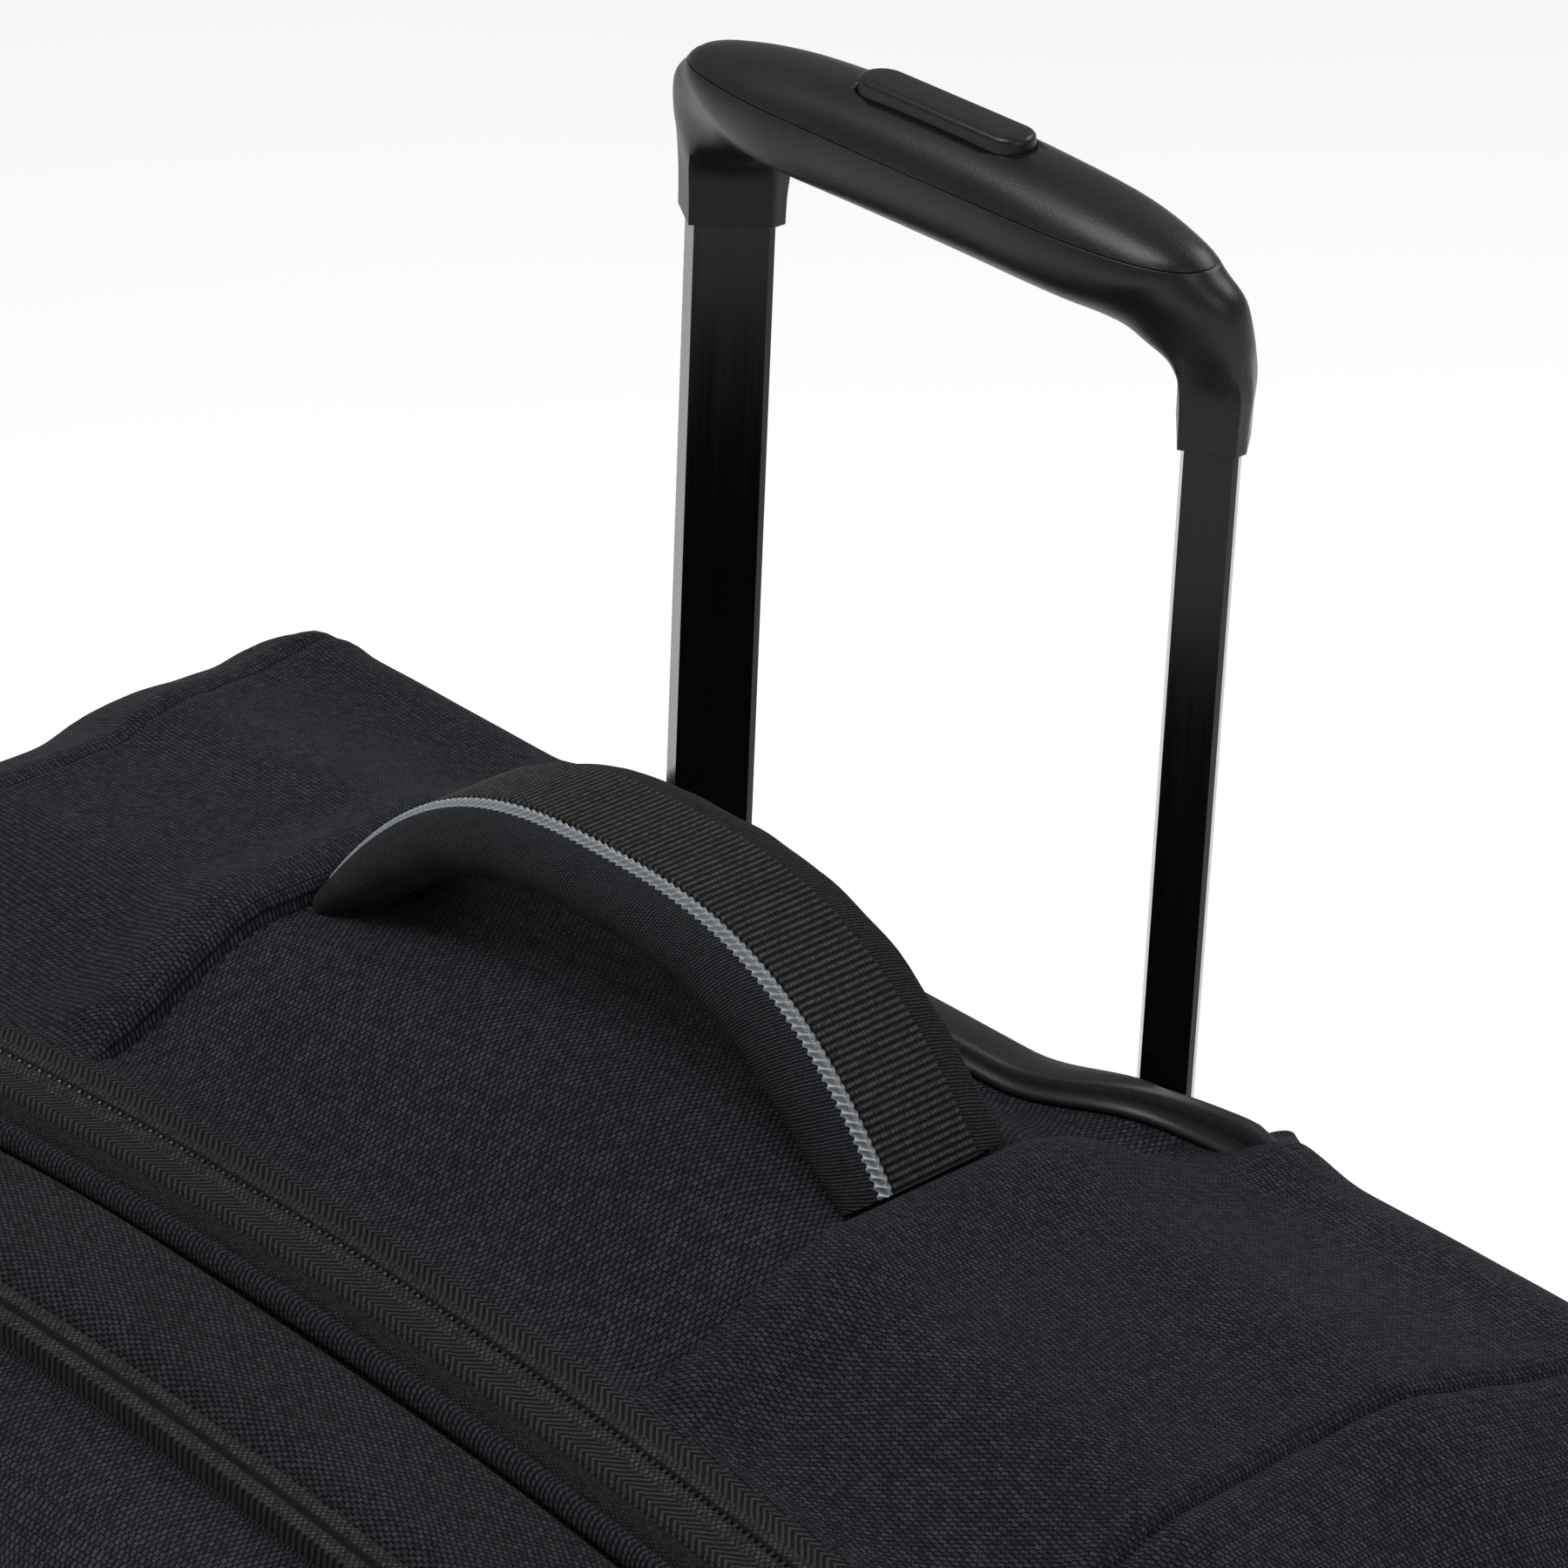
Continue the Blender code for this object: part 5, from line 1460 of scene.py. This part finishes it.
def side_handle():
    """The right side's carry handle, sewn down under two end patches."""
    low_z, high_z = SIDE_PAD_LOW.z, SIDE_PAD_HIGH.z
    centre_z, half_span = (low_z + high_z) / 2, (high_z - low_z) / 2
    base = SIDE_PAD_LOW.x - 0.0010
    rise = SIDE_PAD_HIGH.x - 0.0050 - base
    middle = (SIDE_PAD_LOW.y + SIDE_PAD_HIGH.y) / 2
    half = (SIDE_PAD_HIGH.y - SIDE_PAD_LOW.y) / 2
    strap = Strap(half_span, rise, 2.3, lambda u, a, h: (base + h, middle + a, centre_z + u))
    section = rounded([
        (-half * 0.6, 0.0040), (-half * 0.92, 0.0028), (-half, 0.0), (-half * 0.9, -0.0032),
        (-half * 0.5, -0.0044), (half * 0.5, -0.0044), (half * 0.9, -0.0032), (half, 0.0),
        (half * 0.92, 0.0028), (half * 0.6, 0.0040),
    ])
    rows, us = pad_rows(strap, [(a, lift + 0.0012) for a, lift in section], 0.004, 0.5)
    vs = distances([(a, lift, 0.0) for a, lift in section] + [(*section[0], 0.0)])
    obj = loft("side_pad", rows, ["knit"], ring=True, caps=True, us=us, vs=vs, angle=80)
    wear_body(obj, "case", "trim_fabric", "side_handle_pad")
    belt = webbing_strip("side_webbing", strap, -0.0110, 0.0110, 0.0050)
    wear_body(belt, "case", "webbing", "side_handle_webbing")
    for sign, end in ((-1, "lower"), (1, "upper")):
        z0 = centre_z + sign * (half_span - 0.004)
        rows = []
        for k in range(13):
            z = z0 + sign * 0.030 * k / 12
            edge = 0.0005 if 0 < k < 12 else -0.0012
            row = []
            for j in range(15):
                a = -1 + 2 * j / 14
                out = edge + 0.0012 * (1 - abs(a) ** 6) - (0.0015 if abs(a) > 0.98 else 0.0)
                y = middle + a * (half + 0.004)
                row.append((surface_x(z, y) + 0.0006 + out, y, z))
            rows.append(row)
        patch = loft(f"side_patch_{end}", rows, ["binding"], angle=80)
        wear_body(patch, "case", "trim_fabric")
        z = z0 + sign * 0.027
        ys = [middle + a * half for a in steps(-1.0, 1.0, 0.1)]
        line = [(surface_x(z, y) + 0.0022, y, z) for y in ys]
        stitches(f"side_stitching_{end}", line, [(1, 0, 0)] * len(line), "case")


def surface_x(z, y):
    """How far right the side fabric stands at a height and depth."""
    s = first_where(lambda x, height: x > HALF_WIDTH * 0.999 and height <= z)[0]
    return body_point(s, y, 0.0, True)[0]


# Wheels.


def mirrored(half):
    """The points of a section's right half, with their mirror images before them."""
    return [(-u, v) for u, v in reversed(half)] + half


def wheels():
    """Ribbed tyres on dished hubs with spokes on both faces."""
    for side in ("left", "right"):
        low, high = box(f"wheel_tyre_{side}")
        centre = (low + high) / 2
        radius = (high.z - low.z) / 2
        half = (high.x - low.x) / 2

        def turned(name, profile, look, body, slot, *nodes):
            rows = []
            for k in range(72):
                a = 2 * math.pi * k / 72
                c, s = math.cos(a), math.sin(a)
                rows.append([(centre.x + u, centre.y + r * c, centre.z + r * s) for u, r in profile])
            obj = loft(name, rows, [look], ring=True, loop=True, angle=35)
            return wear_body(obj, body, slot, *nodes)

        right = [(0.0020, 0.0), (0.0026, 0.0008), (0.0034, 0.0008), (0.0040, 0.0), (half - 0.0022, 0.0009),
                 (half - 0.0006, 0.0030), (half, 0.0055), (half - 0.0008, radius - 0.0225)]
        right = [(u, radius - depth) for u, depth in right]
        tread = mirrored(right)
        turned(f"tyre_{side}", tread, "tyre", f"wheel_{side}", "tyre", f"wheel_tyre_{side}")
        dish = mirrored([(0.0090, 0.0034), (0.0090, 0.0070), (0.0078, 0.0085), (0.0050, 0.0120),
                         (0.0060, 0.0185), (0.0095, 0.0195), (0.0095, 0.0222)])
        turned(f"hub_{side}", dish, "hub", f"wheel_{side}", "hub", f"wheel_hub_{side}")
        # radius, half width and distance from the wheel's middle plane, from the hub outwards
        spoke = ((0.0080, 0.0020, 0.0086), (0.0120, 0.0015, 0.0076), (0.0160, 0.0014, 0.0078),
                 (0.0192, 0.0020, 0.0092))
        spokes = []
        for k in range(SPOKES):
            a = 2 * math.pi * k / SPOKES
            for face in (-1, 1):
                rows = []
                for r, width, out in spoke:
                    row = []
                    for w, depth in mirrored([(width * 0.7, out), (width, 0.0045)]):
                        y, z = r * math.cos(a) - w * math.sin(a), r * math.sin(a) + w * math.cos(a)
                        row.append((centre.x + face * depth, centre.y + y, centre.z + z))
                    rows.append(row)
                name = f"spoke_{side}_{k}_{face}"
                spokes.append(loft(name, rows, ["hub"], ring=True, caps=True, angle=35))
        wear_body(joined(f"spokes_{side}", spokes), f"wheel_{side}", "hub")


# Sliders, pulls, strap.


def zip_pull(prefix, slider_body, pull_body):
    """A slider with a rounded body and bridge, and a ribbed pull tab."""
    low, high = box(f"{prefix}_slider")
    centre = (low + high) / 2
    half_y, half_z = (high.y - low.y) / 2, (high.z - low.z) / 2
    rows = []
    for x, scale in ((low.x + 0.0001, 0.94), (low.x + 0.0004, 1.0), (high.x - 0.0008, 1.0),
                     (high.x - 0.0002, 0.9), (high.x, 0.75)):
        row = []
        for k in range(24):
            a = 2 * math.pi * k / 24
            c, s = math.cos(a), math.sin(a)
            y = math.copysign(abs(c) ** 0.6, c) * half_y * scale
            z = math.copysign(abs(s) ** 0.6, s) * half_z * scale
            row.append((x, centre.y + y * (1 - 0.18 * abs(z) / half_z), centre.z + z))
        rows.append(row)
    body = loft(f"{prefix}_slider_body", rows, ["gunmetal"], ring=True, caps=True, angle=50)
    arch = [(high.x - 0.0004 + 0.0030 * math.sin(t), centre.y, centre.z + half_z * 0.62 * math.cos(t))
            for t in steps(0.0, math.pi, 0.2)]
    bridge = tube_along(f"{prefix}_bridge", arch, 0.0008, "gunmetal", sides=8)
    wear_body(joined(f"{prefix}_slider_body", [body, bridge]), slider_body, "zip", f"{prefix}_slider")
    low, high = box(f"{prefix}_pull_tab")
    middle_x, middle_y = (low.x + high.x) / 2, (low.y + high.y) / 2
    length = high.z - low.z
    rows = []
    for share in steps(0.0, 1.0, 1 / 36):
        z = high.z - length * share
        waist = between(0.62, 1.0, eased((share - 0.15) / 0.35))
        ends = math.sqrt(max(1 - max(0.0, (abs(share - 0.5) - 0.42) / 0.08) ** 2, 0.02))
        rib = 0.00022 * math.cos(2 * math.pi * z / 0.0022) if 0.45 < share < 0.9 else 0.0
        half = (high.y - low.y) / 2 * waist * ends
        thick = (high.x - low.x) / 2 * between(0.6, 1.0, ends) + rib
        row = []
        for k in range(16):
            a = 2 * math.pi * k / 16
            c, s = math.cos(a), math.sin(a)
            row.append((middle_x + math.copysign(abs(c) ** 0.7, c) * thick,
                        middle_y + math.copysign(abs(s) ** 0.5, s) * half, z))
        rows.append(row)
    tab = loft(f"{prefix}_pull", rows, ["plastic"], ring=True, caps=True, angle=50)
    wear_body(tab, pull_body, "moulding", f"{prefix}_pull_tab")


def packing_strap():
    """The webbing that holds clothes against the back, inside."""
    low, high = box("packing_strap")
    top, middle_z = high.y - 0.0002, (low.z + high.z) / 2
    strap = Strap((high.x - low.x) / 2, 0.0, 2.0, lambda u, a, h: (u, top - h, middle_z + a))
    half = (high.z - low.z) / 2
    obj = webbing_strip("packing_webbing", strap, -half, half, 0.0)
    wear_body(obj, "case", "webbing", "packing_strap")


def lid_hinge():
    """The fabric that joins the lid to the body along the left side."""
    rows = []
    zs = steps(BOTTOM_Z + 0.075, TOP_Z - 0.085, 0.010)
    profile = ((0.0300, 0.0004), (0.0150, 0.0012), (0.0080, 0.0016), (0.0040, 0.0022), (0.0020, 0.0026),
               (0.0, 0.0028), (-0.0020, 0.0026), (-0.0040, 0.0022), (-0.0080, 0.0016), (-0.0130, 0.0008))
    for z in zs:
        rows.append([(-(HALF_WIDTH + out), ZIP_Y + y, z) for y, out in profile])
    obj = loft("hinge_fabric", rows, ["binding"], angle=80)
    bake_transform(obj)


# Stage: floor, lights and camera.


def area_light(name, location, target, size, power, colour=(1.0, 1.0, 1.0)):
    data = bpy.data.lights.new(name, "AREA")
    data.shape = "RECTANGLE"
    data.size, data.size_y = size
    data.energy = power
    data.color = colour
    obj = bpy.data.objects.new(name, data)
    obj.location = location
    obj.rotation_euler = (Vector(target) - Vector(location)).to_track_quat("-Z", "Y").to_euler()
    bpy.context.scene.collection.objects.link(obj)


def studio():
    """A pale floor under soft lights."""
    look = Look("floor_paper", 0.95, specular=0.0)
    paper = look.mix(look.noise(0.8, 2.0), (0.93, 0.93, 0.93), (0.96, 0.96, 0.96))
    look.set("Base Color", paper)
    look.set("Emission Color", paper)
    look.set("Emission Strength", 0.42)
    LOOKS["floor"] = look.material
    size = 12.0
    rows = [[(x, y, 0.0) for x in steps(-size, size, 2.0)] for y in steps(-size, size, 2.0)]
    floor = loft("floor", rows, ["floor"])
    world = bpy.data.worlds.new("studio")
    world.use_nodes = True
    background = world.node_tree.nodes["Background"]
    background.inputs[0].default_value = (1.0, 1.0, 1.0, 1.0)
    background.inputs[1].default_value = 0.30
    bpy.context.scene.world = world
    area_light("key", (-0.6, -0.9, 2.9), (0.0, 0.0, 0.5), (1.3, 1.3), 34.0)
    area_light("fill", (1.9, -0.3, 1.9), (0.0, 0.0, 0.6), (1.2, 1.2), 7.0)
    area_light("rim", (0.3, 1.9, 2.2), (0.0, 0.1, 0.6), (1.6, 0.8), 16.0)
    bpy.context.scene.view_settings.view_transform = "Standard"


def camera():
    """The view from above, to the right of the front."""
    azimuth, elevation, roll = (math.radians(a) for a in (45.374, 27.948, 2.414))
    back = Vector((math.sin(azimuth) * math.cos(elevation), -math.cos(azimuth) * math.cos(elevation),
                   math.sin(elevation)))
    level = Vector((math.cos(azimuth), math.sin(azimuth), 0.0))
    rise = back.cross(level)
    right = level * math.cos(roll) + rise * math.sin(roll)
    up = rise * math.cos(roll) - level * math.sin(roll)
    data = bpy.data.cameras.new("camera")
    data.lens = 160.4
    data.sensor_width = 36.0
    data.clip_start = 0.05
    obj = bpy.data.objects.new("camera", data)
    rotation = Matrix((right, up, back)).transposed().to_4x4()
    obj.matrix_world = Matrix.Translation(Vector((0.874, -0.784, 1.338)) + MIDDLE) @ rotation
    bpy.context.scene.collection.objects.link(obj)
    bpy.context.scene.camera = obj


body_fabric()
back_fabric()
main_zip()
lid_shell()
front_pocket()
lid_hinge()
keep_nodes()
housing()
tube_bushes()
grip()
top_handle()
side_handle()
wheels()
for prefix, slider, pull in (
    ("main_lower", "lower_slider", "lower_pull"),
    ("main_upper", "upper_slider", "upper_pull"),
    ("pocket", "small_slider", "small_pull"),
):
    zip_pull(prefix, slider, pull)
packing_strap()
studio()
camera()
